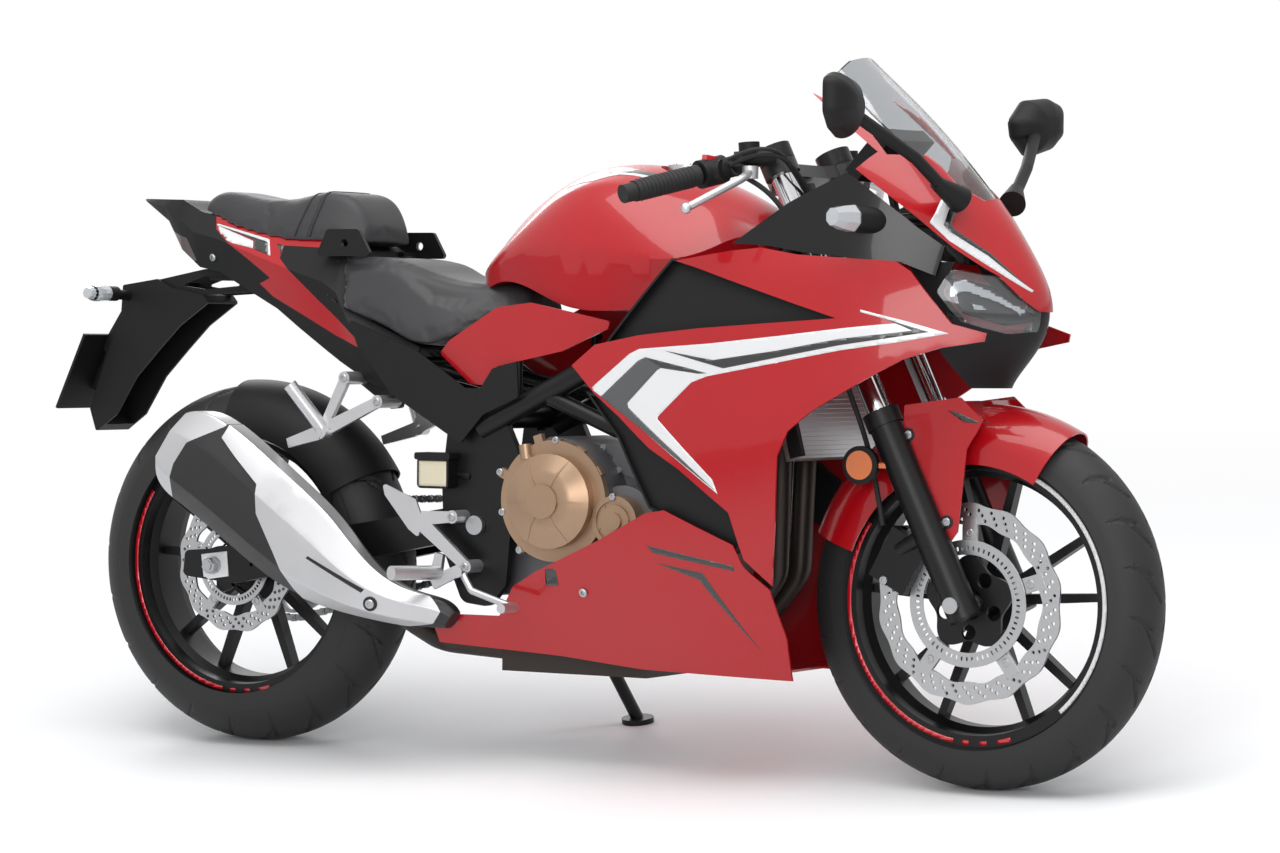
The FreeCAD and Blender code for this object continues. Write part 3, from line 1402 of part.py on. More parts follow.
SIDE_COVER = [
    (-438, 741),
    (-292, 688),
    (-192, 627),
    (-160, 626),
    (-136, 660),
    (-88, 672),
    (-84, 613),
    (-154, 583),
    (-199, 534),
    (-216, 544),
    (-343, 614),
    (-408, 691),
]
SIDE_COVER_OUTER = [(-450, -136), (-300, -142), (-190, -149), (-80, -152)]


def side_covers():
    """The dark covers under the seat, ahead of the rear wheel."""
    inner_face = [(x, y + COVER_THICKNESS) for x, y in reversed(SIDE_COVER_OUTER)]
    right = plan_prism(SIDE_COVER_OUTER + inner_face, 500, 780).common(side_prism(SIDE_COVER, -300, -20, 5))
    stub = cylinder(vec(-250, -94, 642), vec(-250, -138, 620), 7)
    return both_sides(fuse([right, stub]).cut([seat_rails()]))


GRAB_OUTLINE = [(-488, 893), (-424, 893), (-397, 847), (-511, 847)]


def strap_brackets():
    """The plates beside the front of the pillion seat, each with a round hole."""
    plate = side_prism(GRAB_OUTLINE, -122, -114, 6)
    hole = cylinder(vec(-452, -200, 869), vec(-452, 0, 869), 7)
    foot = block(vec(-500, -114, 850), vec(-455, -70, 858))
    return both_sides(fuse([plate.cut(hole), foot]).cut(tail_form()))


def seat_wire(x, top, half_top, half_low, low):
    return rounded_wire(
        [vec(x, -half_low, low), vec(x, half_low, low), vec(x, half_top, top), vec(x, -half_top, top)], [8, 8, 22, 22]
    )


def rider_seat():
    cushion = loft(
        [
            seat_wire(-118, 788, 44, 66, 746),
            seat_wire(-148, 804, 60, 92, 732),
            seat_wire(-200, 802, 84, 118, 716),
            seat_wire(-256, 808, 100, 134, 700),
            seat_wire(-300, 820, 108, 138, 694),
            seat_wire(-350, 838, 110, 138, 714),
            seat_wire(-420, 846, 108, 132, 740),
            seat_wire(-484, 848, 100, 124, 772),
            seat_wire(-508, 838, 84, 108, 796),
        ]
    )
    return cushion.cut([tail_form(), fuel_tank(), seat_rails(), tank_covers()])


def pillion_seat():
    cushion = loft(
        [
            seat_wire(-438, 900, 56, 84, 866),
            seat_wire(-505, 957, 74, 100, 866),
            seat_wire(-590, 949, 70, 96, 868),
            seat_wire(-690, 951, 60, 82, 884),
            seat_wire(-802, 950, 38, 56, 914),
        ]
    )
    return cushion.cut(tail_form())


# Tail: sections across the bike, each with its place, its top and its lower edge and the half
# widths at the top, at the shoulder and at the lower edge
TAIL_STATIONS = [
    (-946, 951, 946, 16, 20, 16),
    (-884, 949, 911, 34, 46, 34),
    (-846, 948, 860, 44, 60, 46),
    (-800, 926, 829, 50, 74, 56),
    (-748, 915, 820, 58, 84, 66),
    (-700, 905, 797, 64, 92, 74),
    (-614, 886, 757, 78, 106, 86),
    (-559, 880, 722, 84, 114, 94),
    (-500, 876, 686, 88, 120, 102),
    (-468, 858, 667, 96, 124, 106),
    (-440, 786, 652, 104, 127, 109),
    (-400, 736, 630, 112, 130, 113),
    (-300, 694, 604, 118, 133, 120),
]
TAIL_SHOULDER = 0.62


def tail_wire(x, top, low, half_top, half_shoulder, half_low, inset):
    shoulder = low + (top - low) * TAIL_SHOULDER
    corners = [
        vec(x, -half_low + inset, low + inset),
        vec(x, half_low - inset, low + inset),
        vec(x, half_shoulder - inset, shoulder),
        vec(x, half_top - inset, top - inset),
        vec(x, -half_top + inset, top - inset),
        vec(x, -half_shoulder + inset, shoulder),
    ]
    return Part.makePolygon(corners + [corners[0]])


def tail_form():
    return Part.makeLoft([tail_wire(*station, 0) for station in TAIL_STATIONS], True, True)


def tail_room():
    return Part.makeLoft([tail_wire(*station, PANEL_WALL) for station in TAIL_STATIONS[2:]], True, True)


def tail_opening(x, top, low, half_top, half_shoulder, half_low):
    """The space between the tail's lower edges, where the rails and the wheel are."""
    inside = half_low - PANEL_WALL - 2
    return Part.makePolygon(
        [
            vec(x, -inside, low - 20),
            vec(x, inside, low - 20),
            vec(x, inside, low + 10),
            vec(x, -inside, low + 10),
            vec(x, -inside, low - 20),
        ]
    )


TAIL_PANEL_OUTLINE = [
    (-766, 918),
    (-717, 912),
    (-644, 895),
    (-605, 886),
    (-513, 882),
    (-513, 862),
    (-598, 866),
    (-599, 844),
    (-560, 812),
    (-512, 773),
    (-428, 710),
    (-422, 692),
    (-475, 712),
    (-553, 748),
    (-619, 777),
    (-650, 800),
    (-622, 810),
    (-668, 840),
    (-717, 870),
    (-754, 895),
]


def tail_shell():
    """The whole tail's thin shell, open at the front and below."""
    below = Part.makeLoft([tail_opening(*station) for station in TAIL_STATIONS[4:]], True, True)
    bolts = [cylinder(vec(x, -200, z), vec(x, 200, z), PILLION_BOSS_RADIUS + 1) for x, z in PILLION_BOLTS]
    return tail_form().cut([tail_room(), below, tail_light()] + bolts)


def tail_panels():
    """The space of the painted side panels, both sides of the middle."""
    right = side_prism(TAIL_PANEL_OUTLINE, -300, -40)
    return fuse([right, mirrored(right)])


def tail_cowl():
    """The painted swoosh on each side of the tail."""
    return tail_shell().common(tail_panels())


def tail_base():
    """The unpainted rest of the tail with its undertray."""
    lamp_room = side_prism(TAIL_LIGHT_OUTLINE, -300, 300)
    return tail_shell().cut([tail_panels(), lamp_room])


LUG_Y = 84.0
LUG_THICKNESS = 8.0
LUG_OUTLINE = [(-345, 668), (-352, 590), (-374, 588), (-446, 636), (-444, 702), (-400, 690)]


def seat_rails():
    """The subframe: two rails, two braces, cross tubes and the lugs for the pillion brackets."""
    rails = []
    for side in (-1, 1):
        rails.append(pipe([vec(-92, side * 104, 618), vec(-330, side * 88, 666), vec(-740, side * 44, 846)], 11, 80))
        rails.append(cylinder(vec(-196, side * 108, 560), vec(-430, side * 80, 706), 10))
        low_y, high_y = sorted([side * (LUG_Y + LUG_THICKNESS), side * LUG_Y])
        rails.append(side_prism(LUG_OUTLINE, low_y, high_y, 6))
    cross = cylinder(vec(-352, -160, 668), vec(-352, 160, 668), 9).common(tail_room())
    rear_cross = cylinder(vec(-640, -140, 808), vec(-640, 140, 808), 9).common(tail_room())
    return fuse(rails + [cross, rear_cross]).cut(main_frame())


HOLDER_HALF_WIDTH = 46.0
HOLDER_WALL = 5.0
HOLDER_ARM = [(-660, 806), (-700, 786), (-800, 780), (-905, 792), (-905, 806), (-800, 826), (-748, 826)]
HOLDER_ARM_WINDOW = [(-722, 797), (-800, 790), (-850, 797), (-800, 813), (-750, 812)]
FLAP_OUTLINE = [
    (-975, 797),
    (-900, 808),
    (-866, 792),
    (-800, 780),
    (-789, 767),
    (-850, 726),
    (-895, 683),
    (-944, 634),
    (-988, 566),
    (-1032, 535),
    (-1046, 576),
    (-1004, 690),
    (-980, 728),
]
FLAP_HOLLOW = [
    (-950, 790),
    (-900, 790),
    (-800, 770),
    (-770, 750),
    (-850, 700),
    (-895, 660),
    (-944, 610),
    (-984, 540),
    (-1010, 545),
    (-1030, 570),
    (-1000, 680),
    (-972, 730),
]


def plate_holder():
    """The rear mudguard: a pair of arms, a flap that is open in front and the blank plate's carrier."""
    arm = side_prism(HOLDER_ARM, -HOLDER_HALF_WIDTH + 6, -HOLDER_HALF_WIDTH + 6 + HOLDER_WALL, 3)
    arm = arm.cut(side_prism(HOLDER_ARM_WINDOW, -80, 0, 2))
    flap = side_prism(FLAP_OUTLINE, -HOLDER_HALF_WIDTH, HOLDER_HALF_WIDTH, 4)
    hollow = side_prism(FLAP_HOLLOW, -HOLDER_HALF_WIDTH + HOLDER_WALL, HOLDER_HALF_WIDTH - HOLDER_WALL)
    top = block(vec(-905, -HOLDER_HALF_WIDTH + 6, 792), vec(-868, HOLDER_HALF_WIDTH - 6, 802))
    seat = block(vec(-790, -HOLDER_HALF_WIDTH + 6, 806), vec(-700, HOLDER_HALF_WIDTH - 6, 811))
    neck = side_prism([(-1000, 700), (-975, 760), (-985, 765), (-1026, 705), (-1034, 680), (-1008, 670)], -24, 24)
    carrier = fuse([arm, mirrored(arm), flap.cut(hollow), top, seat, neck, number_plate()])
    return carrier.cut(tail_form())


PLATE_LOW = vec(-1088, 0, 578)
PLATE_HIGH = vec(-1027, 0, 710)
PLATE_HALF_WIDTH = 92.0
PLATE_THICKNESS = 5.0


def number_plate():
    """The flat carrier for the plate, left blank."""
    upwards = PLATE_HIGH - PLATE_LOW
    before = vec(upwards.z, 0, -upwards.x).normalize() * PLATE_THICKNESS
    corners = [PLATE_LOW, PLATE_HIGH, PLATE_HIGH + before, PLATE_LOW + before]
    plate = side_prism([(p.x, p.z) for p in corners], -PLATE_HALF_WIDTH, PLATE_HALF_WIDTH)
    link = side_prism([(-1012, 700), (-1026, 706), (-1068, 612), (-1040, 600)], -14, 14)
    return fuse([plate, link])


FRONT_LAMP_ROOT, FRONT_LAMP_END = vec(566, -214, 904), vec(552, -258, 906)
FRONT_LAMP_RADIUS, REAR_LAMP_RADIUS = 21.0, 13.0


def indicators():
    """Four turn signals: two pods beside the nose and two on rubber stalks at the plate holder."""
    stalk = cylinder(vec(-966, -42 - SEAT_GAP, 778), vec(-954, -104, 781), 9)
    pod_root, pod_end = vec(-952, -98, 781), vec(-952, -166, 781)
    pod = cylinder(pod_root, pod_end, REAR_LAMP_RADIUS)
    tip = cone(pod_end, pod_end - vec(0, 12, 0), REAR_LAMP_RADIUS, 8)
    rear = fuse([stalk, pod, tip]).cut(plate_holder())
    outward = FRONT_LAMP_END - FRONT_LAMP_ROOT
    foot = cylinder(FRONT_LAMP_ROOT - outward * 1.4, FRONT_LAMP_ROOT, FRONT_LAMP_RADIUS)
    lamp = cone(FRONT_LAMP_ROOT, FRONT_LAMP_END, FRONT_LAMP_RADIUS, 13)
    behind = plan_prism([(330, -194), (470, -194), (560, -184), (640, -156), (716, -110), (716, 0), (330, 0)], 700, 1000)
    front = fuse([foot, lamp]).cut([behind, upper_side_panel()])
    return group([both_sides(rear), both_sides(front)])


# Stand and rests

STAND_PIVOT = vec(-166, 153, 290)
STAND_REACH_FORWARD = 78.0
STAND_REACH_OUT = 113.0
STAND_FOOT_RADIUS = 28.0
STAND_LEG_RADIUS = 11.0
STAND_FOLDED_DIRECTION = vec(-0.98, 0.06, -0.16)


def ground_height(x, y):
    """The height, in the upright frame, of the parked ground plane at a point of the bike."""
    lean = math.radians(LEAN_DEG)
    sink = -(FRONT_TYRE_HALF_WIDTH + REAR_TYRE_HALF_WIDTH) / 2 * (1 - math.cos(lean))
    return (sink + y * math.sin(lean)) / math.cos(lean)


STAND_FOOT = vec(
    STAND_PIVOT.x + STAND_REACH_FORWARD,
    STAND_PIVOT.y + STAND_REACH_OUT,
    ground_height(0, STAND_PIVOT.y + STAND_REACH_OUT),
)


def ground_normal():
    lean = math.radians(LEAN_DEG)
    return vec(0, -math.sin(lean), math.cos(lean))


STAND_AXIS = (STAND_FOOT - STAND_PIVOT).cross(STAND_FOLDED_DIRECTION).normalize()
STAND_PIN_RADIUS = 8.0
STAND_EYE_HALF = 12.5


def stand_pin():
    """The pin on the frame's plate that the stand turns on, with its head."""
    outwards = STAND_AXIS if STAND_AXIS.y > 0 else STAND_AXIS * -1
    plate_y = PIVOT_PLATE_Y
    root = STAND_PIVOT - outwards * ((STAND_PIVOT.y - plate_y) / outwards.y)
    shaft = cylinder(root, STAND_PIVOT + outwards * (STAND_EYE_HALF + 0.2), STAND_PIN_RADIUS)
    head = cylinder(
        STAND_PIVOT + outwards * (STAND_EYE_HALF + 0.2), STAND_PIVOT + outwards * (STAND_EYE_HALF + 5), 13
    )
    return fuse([shaft, head])


def side_stand():
    foot = cylinder(STAND_FOOT, STAND_FOOT + ground_normal() * 9, STAND_FOOT_RADIUS)
    down = (STAND_FOOT - STAND_PIVOT).normalize()
    leg = pipe(
        [STAND_PIVOT + down * 10, STAND_FOOT + ground_normal() * 7], STAND_LEG_RADIUS, 0
    )
    eye = cylinder(STAND_PIVOT - STAND_AXIS * STAND_EYE_HALF, STAND_PIVOT + STAND_AXIS * STAND_EYE_HALF, 17)
    hole = cylinder(STAND_PIVOT - STAND_AXIS * 40, STAND_PIVOT + STAND_AXIS * 40, STAND_PIN_RADIUS + RUNNING_GAP)
    return fuse([foot, leg, eye]).cut(hole)


def limb(start, end, half_start, half_end, y_from, y_to):
    """A flat tapered arm between two (x, z) points."""
    along = vec(end[0] - start[0], 0, end[1] - start[1]).normalize()
    across = vec(-along.z, 0, along.x)
    corners = []
    for point, half in [(start, half_start), (end, half_end), (end, -half_end), (start, -half_start)]:
        corner = vec(point[0], 0, point[1]) + across * half
        corners.append((corner.x, corner.z))
    return side_prism(corners, y_from, y_to)


REST_Y = 168.0
REST_THICKNESS = 9.0
REST_BOLTS = [(-200, 412), (-173, 330)]
HEEL_PLATE = [(-340, 465), (-273, 439), (-258, 404), (-268, 376), (-287, 389), (-335, 445)]
PEG_ROOT = vec(-228, -REST_Y + 4, 318)
PEG_TIP = vec(-262, -258, 320)


def rider_footrests():
    """Cast brackets with their heel plates, bosses and pegs."""
    outer = -REST_Y
    inner = -REST_Y + REST_THICKNESS
    plate_face = -PIVOT_PLATE_Y - PIVOT_PLATE_THICKNESS / 2
    high, low = REST_BOLTS
    pieces = [
        side_prism(HEEL_PLATE, outer, outer + 4, 4),
        limb((-262, 408), high, 12, 9, outer, inner),
        limb((-262, 400), low, 13, 9, outer, inner),
        limb(low, (-240, 300), 9, 11, outer, inner),
        limb((-226, 350), (-236, 302), 8, 11, outer, inner),
        cylinder(PEG_ROOT, PEG_TIP, 12),
    ]
    for x, z in REST_BOLTS:
        pieces.append(cylinder(vec(x, outer - 2, z), vec(x, plate_face, z), 11))
    return both_sides(fuse(pieces))


PILLION_Y = 152.0
PILLION_BOSS_RADIUS = 11.0
PILLION_THICKNESS = 10.0
PILLION_BOLTS = [(-429, 640), (-362, 601)]
PILLION_KNEE = (-482, 546)


def pillion_footrests():
    """Cast forked brackets with the folded pillion pegs."""
    outer = -PILLION_Y
    inner = -PILLION_Y + PILLION_THICKNESS
    first, second = PILLION_BOLTS
    pieces = [
        limb(first, (-470, 560), 9, 8, outer, inner),
        limb(second, PILLION_KNEE, 9, 12, outer, inner),
        limb(PILLION_KNEE, (-545, 527), 12, 8, outer, inner),
        cylinder(vec(-468, outer, 548), vec(-518, outer - 34, 628), 12),
        cylinder(vec(-468, inner, 548), vec(-468, outer - 12, 548), 10),
    ]
    for x, z in PILLION_BOLTS:
        pieces.append(cylinder(vec(x, outer - 2, z), vec(x, -LUG_Y - LUG_THICKNESS, z), PILLION_BOSS_RADIUS))
    return both_sides(fuse(pieces))


MIRROR_CENTRE = vec(622, -356, 1072)
MIRROR_OUTLINE = [(64, 40), (28, 50), (-30, 44), (-64, 10), (-58, -20), (-20, -50), (34, -36), (64, -12)]
MIRROR_STATIONS = [(-20, 0.97, 14), (-6, 1.0, 14), (10, 0.84, 12), (20, 0.6, 9), (25, 0.34, 5)]
MIRROR_YAW_DEG = 12.0


def mirror_head():
    """The moulded shell, with the flat of its glass to the rear."""
    wires = []
    for ahead, scale, radius in MIRROR_STATIONS:
        points = [vec(ahead, -out * scale, up * scale) for out, up in MIRROR_OUTLINE]
        wires.append(rounded_wire(points, radius))
    head = loft(wires)
    head.rotate(vec(0, 0, 0), vec(0, 0, 1), MIRROR_YAW_DEG)
    head.translate(MIRROR_CENTRE)
    return head


def mirrors():
    """Rear-view mirrors on stalks from the head fairing."""
    stalk = pipe([vec(686, -112, 940), vec(668, -206, 998), vec(624, -336, 1062)], 10, 60)
    foot = cone(vec(694, -96, 936), vec(676, -150, 962), 22, 11)
    return both_sides(fuse([stalk, foot, mirror_head()])).cut(head_solid(0))


def instrument_panel():
    panel = block(vec(-14, -78, -44), vec(14, 78, 44))
    panel.rotate(vec(0, 0, 0), vec(0, 1, 0), 42)
    panel.translate(vec(520, 0, 1010))
    return panel


TAIL_LIGHT_FIT = 0.985
TAIL_LIGHT_OUTLINE = [(-872, 893), (-827, 880), (-806, 840), (-833, 842), (-852, 862)]


def tail_light():
    """The smoked lamp that closes the tail from side to side, flush with its skin."""
    middle_x = sum(x for x, z in TAIL_LIGHT_OUTLINE) / len(TAIL_LIGHT_OUTLINE)
    middle_z = sum(z for x, z in TAIL_LIGHT_OUTLINE) / len(TAIL_LIGHT_OUTLINE)
    inset = [
        (middle_x + (x - middle_x) * TAIL_LIGHT_FIT, middle_z + (z - middle_z) * TAIL_LIGHT_FIT)
        for x, z in TAIL_LIGHT_OUTLINE
    ]
    return side_prism(inset, -100, 100).common(tail_form()).cut(plate_holder())


REAR_CALIPER_CENTRE = vec(-611, REAR_DISC_Y, 336)


def rear_brake():
    """The rear caliper under the right arm, its fluid cup on the frame and the master cylinder."""
    body = block(REAR_CALIPER_CENTRE + vec(-34, -38.5, -26), REAR_CALIPER_CENTRE + vec(34, 22, 26))
    body.rotate(REAR_CALIPER_CENTRE, vec(0, 1, 0), -14)
    room = cylinder(REAR_AXLE + vec(0, REAR_DISC_Y - 8, 0), REAR_AXLE + vec(0, REAR_DISC_Y + 8, 0), REAR_DISC_RADIUS + 6)
    caliper = body.cut([room, swingarm()])
    cup = side_prism([(-276, 458), (-214, 458), (-214, 512), (-276, 512)], -160, -128, 8)
    lid = side_prism([(-280, 506), (-210, 506), (-210, 518), (-280, 518)], -163, -126, 4)
    bracket = side_prism([(-262, 470), (-226, 470), (-226, 500), (-262, 500)], -129, -PIVOT_PLATE_Y - 4, 4)
    post = cylinder(vec(-232, -127, 484), vec(-190, -127, 478), 6)
    cup_group = fuse([cup, lid, bracket, post]).cut([main_frame(), side_covers()])
    return group([caliper, cup_group])


REFLECTOR_CENTRE = vec(540, -122, 516)


def fork_reflectors():
    """Round side reflectors on brackets behind the fork legs."""
    holder = cylinder(REFLECTOR_CENTRE, REFLECTOR_CENTRE - vec(0, 10, 0), 30)
    lens = cylinder(REFLECTOR_CENTRE - vec(0, 9, 0), REFLECTOR_CENTRE - vec(0, 13, 0), 23)
    bracket = cylinder(REFLECTOR_CENTRE - vec(0, 4, 0), vec(604, -118, 516), 5)
    return both_sides(fuse([holder, lens, bracket])).cut([fork_leg_solid(), mirrored(fork_leg_solid())])


def fork_leg_solid():
    low = on_steering(AXLE_ALONG, FORK_OFFSET, -FORK_SPREAD)
    high = on_steering(FORK_LEG_TOP, FORK_OFFSET, -FORK_SPREAD)
    return cylinder(low, high, FORK_LEG_RADIUS + SEAT_GAP)


def pedals():
    """The brake pedal on the right and the gear lever on the left."""
    arm = pipe([vec(-176, -176, 322), vec(-150, -186, 292), vec(-66, -190, 268)], 6, 14)
    toe = cylinder(vec(-66, -186, 268), vec(-64, -232, 268), 8)
    boss = cylinder(vec(-178, -REST_Y - 0.3, 322), vec(-178, -188, 322), 10)
    return both_sides(fuse([arm, toe, boss])).cut(rider_footrests())


def parts_upright():
    """Every named piece in the upright frame."""
    return {
        "front_tyre": tyre(FRONT_AXLE, FRONT_TYRE_RADIUS, FRONT_TYRE_HALF_WIDTH, FRONT_RIM_HALF_WIDTH),
        "front_rim": rim(FRONT_AXLE, FRONT_RIM_HALF_WIDTH, FRONT_HUB_RADIUS, FRONT_HUB_HALF, FRONT_BOSS_RADIUS, 0),
        "front_disc": wave_disc(FRONT_AXLE, FRONT_DISC_Y, FRONT_DISC_RADIUS, 34, FRONT_HUB_RADIUS, FRONT_HUB_HALF),
        "rear_tyre": tyre(REAR_AXLE, REAR_TYRE_RADIUS, REAR_TYRE_HALF_WIDTH, REAR_RIM_HALF_WIDTH),
        "rear_rim": rim(REAR_AXLE, REAR_RIM_HALF_WIDTH, REAR_HUB_RADIUS, REAR_HUB_HALF, REAR_BOSS_RADIUS, 0),
        "rear_disc": wave_disc(REAR_AXLE, REAR_DISC_Y, REAR_DISC_RADIUS, 30, REAR_HUB_RADIUS, REAR_HUB_HALF),
        "rear_sprocket": rear_sprocket(),
        "front_axle": front_axle(),
        "fork_legs": both_sides(fork_leg()),
        "fork_tubes": both_sides(fork_tube()),
        "yokes": yokes(),
        "handlebars": both_sides(handlebar()),
        "grips": both_sides(grip()),
        "bar_switches": both_sides(switch_box()),
        "levers": both_sides(lever()),
        "front_fender": front_fender(),
        "front_caliper": front_caliper(),
        "side_stand": side_stand(),
        "fuel_lid": fuel_lid(),
        "main_frame": main_frame(),
        "swingarm": swingarm(),
        "rear_axles": group([rear_axle(), pivot_bolt()]),
        "chain": chain(),
        "rear_hugger": rear_hugger(),
        "seat_rails": seat_rails(),
        "engine_block": engine_block(),
        "clutch_cover": clutch_cover(),
        "exhaust_pipes": exhaust(),
        "muffler": muffler(),
        "muffler_cap": muffler_cap(),
        "muffler_shield": muffler_shield(),
        "radiator": radiator(),
        "side_fairings": both_sides(side_fairing()),
        "side_inners": both_sides(side_inner_panel()),
        "fairing_stays": group([fairing_stay(), fairing_brackets()]),
        "upper_side_panels": both_sides(upper_side_panel()),
        "belly_pan": belly_pan(),
        "nose_cowl": nose_cowl(),
        "windscreen": windscreen(),
        "headlights": headlights(),
        "nose_mask": nose_mask(),
        "instrument_panel": instrument_panel(),
        "mirrors": mirrors(),
        "fuel_tank": fuel_tank(),
        "tank_covers": tank_covers(),
        "rider_seat": rider_seat(),
        "pillion_seat": pillion_seat(),
        "tail_cowl": tail_cowl(),
        "tail_base": tail_base(),
        "side_covers": side_covers(),
        "strap_brackets": strap_brackets(),
        "tail_light": tail_light(),
        "rear_brake": rear_brake(),
        "fork_reflectors": fork_reflectors(),
        "pedals": pedals(),
        "plate_holder": plate_holder(),
        "indicators": indicators(),
        "rider_footrests": rider_footrests(),
        "pillion_footrests": pillion_footrests(),
    }


# Parked pose

BOX_CENTRE_X = -41.5
BOX_CENTRE_Y = 176.1


def parked_placement():
    """Leans the upright bike to its left, levels both tyres on the ground and moves the origin."""
    lean = FreeCAD.Rotation(vec(1, 0, 0), -LEAN_DEG)
    drop = 1 - math.cos(math.radians(LEAN_DEG))
    front_low = -FRONT_TYRE_HALF_WIDTH * drop
    rear_low = -REAR_TYRE_HALF_WIDTH * drop
    pitch_deg = math.degrees(math.asin((front_low - rear_low) / WHEELBASE))
    pitch = FreeCAD.Rotation(vec(0, 1, 0), pitch_deg)
    turn = pitch.multiply(lean)
    rise = -(front_low + rear_low) / 2
    return FreeCAD.Placement(vec(-BOX_CENTRE_X, -BOX_CENTRE_Y, rise), turn)


def export_all():
    os.makedirs("parts", exist_ok=True)
    parked = parked_placement().toMatrix()
    for name, shape in parts_upright().items():
        placed = shape.transformed(parked)
        placed.exportStep(f"parts/{name}.step")


export_all()
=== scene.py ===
# %% [markdown]
# # A parked sport bike
# The bike comes in as a fixed frame of solids. This script never moves them: it gives each one a
# finish, and adds what a drawing office leaves out, such as tread, drilled discs, chain links,
# stitched seats, stripes, screws and cables.

# %% Load the frame
import json
import math

import bmesh
import bpy
from mathutils import Matrix, Vector
from mathutils.bvhtree import BVHTree


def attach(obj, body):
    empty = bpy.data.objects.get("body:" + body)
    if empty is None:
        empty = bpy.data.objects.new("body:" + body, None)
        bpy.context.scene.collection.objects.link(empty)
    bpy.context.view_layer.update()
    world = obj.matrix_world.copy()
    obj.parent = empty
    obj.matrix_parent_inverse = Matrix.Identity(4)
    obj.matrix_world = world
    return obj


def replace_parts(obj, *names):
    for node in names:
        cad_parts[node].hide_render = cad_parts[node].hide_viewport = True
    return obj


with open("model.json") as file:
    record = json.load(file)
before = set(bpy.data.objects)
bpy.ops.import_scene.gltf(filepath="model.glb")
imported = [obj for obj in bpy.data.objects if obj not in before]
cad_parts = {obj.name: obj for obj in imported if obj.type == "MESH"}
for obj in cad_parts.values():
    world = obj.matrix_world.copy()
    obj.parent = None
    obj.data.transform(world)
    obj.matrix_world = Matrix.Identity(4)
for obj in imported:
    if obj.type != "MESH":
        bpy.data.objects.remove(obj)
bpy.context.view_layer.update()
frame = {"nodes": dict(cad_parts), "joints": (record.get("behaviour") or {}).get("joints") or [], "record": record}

nodes = frame["nodes"]

# %% [markdown]
# ## Working upright
# A parked bike leans on its stand, which makes every measurement awkward. So each piece is drawn on
# the upright bike, in millimetres, with X forward, Y to the rider's left and Z up from the ground
# midway between the axles. One matrix then leans it and puts it in the frame, in metres.

# %% The lean of the parked bike
MM = 0.001
LEAN_DEG = 9.5
WHEELBASE, FRONT_RADIUS, REAR_RADIUS = 1410.0, 300.0, 312.0
# The wider rear crown stands a little higher when it leans, so the bike tips forward by a hair.
PITCH_DEG = 0.0111458

axle_at = {joint["name"]: Vector(joint["pos_m"]) for joint in frame["joints"]}["front_wheel_spin"]
FRONT_AXLE = Vector((WHEELBASE / 2, 0, FRONT_RADIUS))
REAR_AXLE = Vector((-WHEELBASE / 2, 0, REAR_RADIUS))
PARKED = (
    Matrix.Translation(axle_at)
    @ Matrix.Rotation(math.radians(PITCH_DEG), 4, "Y")
    @ Matrix.Rotation(math.radians(-LEAN_DEG), 4, "X")
    @ Matrix.Scale(MM, 4)
    @ Matrix.Translation(-FRONT_AXLE)
)
UPRIGHT = PARKED.inverted()
print("rear axle stands at", [round(v, 4) for v in PARKED @ REAR_AXLE])

# %% [markdown]
# ## The camera
# The picture was taken from the front right with a long lens. The lens and place below were worked
# out from the two wheels, whose size and spacing are known. The picture shows the bike upright, so
# the camera takes the same lean as the bike and sees it as the photographer did.

# %% Camera
FOCAL_PX, IMAGE_WIDTH, SENSOR_MM, CLIP_END_M = 4239.25, 1280, 36.0, 60.0
camera_axes = Matrix(
    (
        (0.86739, -0.02042, 0.49721, 3578.1),
        (0.49751, 0.01375, -0.86735, -6133.6),
        (0.01088, 0.9997, 0.02209, 721.9),
        (0, 0, 0, 1),
    )
)


def object_of(name, data):
    """A new object in the scene that holds a mesh, a curve, a lamp or the camera."""
    made = bpy.data.objects.new(name, data)
    bpy.context.scene.collection.objects.link(made)
    return made


camera_data = bpy.data.cameras.new("photo_camera")
camera_data.sensor_width = SENSOR_MM
camera_data.lens = FOCAL_PX * SENSOR_MM / IMAGE_WIDTH
camera_data.clip_end = CLIP_END_M
camera = object_of("photo_camera", camera_data)
stood = PARKED @ camera_axes
camera.matrix_world = Matrix.LocRotScale(stood.to_translation(), stood.to_quaternion(), None)
bpy.context.scene.camera = camera
bpy.context.scene.view_settings.view_transform = "Standard"
print("lens", round(camera_data.lens, 1), "mm, height", round(camera.location.z, 2), "m")

# %% [markdown]
# ## Building finishes
# A finish is a small network of shader nodes. Colours are written as the hex values a painter would
# read off a screen, and one function turns them to the linear numbers that the renderer wants.
# A second one adds a node with its settings and links in a single line.

# %% Helpers for every material
PATCHES_PER_M, BUMP_M = 9.0, 0.0004


def colour(hex_text):
    """The linear colour of an sRGB hex value, with full alpha."""
    parts = [int(hex_text[i:i + 2], 16) / 255 for i in (1, 3, 5)]
    linear = [c / 12.92 if c <= 0.04045 else ((c + 0.055) / 1.055) ** 2.4 for c in parts]
    return (*linear, 1.0)


def add(tree, kind, links=None, values=None, **settings):
    """A new node with its settings, the values of its sockets and the outputs that feed them."""
    made = tree.nodes.new(kind)
    for name, value in settings.items():
        setattr(made, name, value)
    for socket, value in (values or {}).items():
        made.inputs[socket].default_value = value
    for socket, source in (links or {}).items():
        tree.links.new(source, made.inputs[socket])
    return made


def blank_material(name):
    """A new material, its node tree and its main shader."""
    material = bpy.data.materials.new(name)
    material.use_nodes = True
    return material, material.node_tree, material.node_tree.nodes["Principled BSDF"]


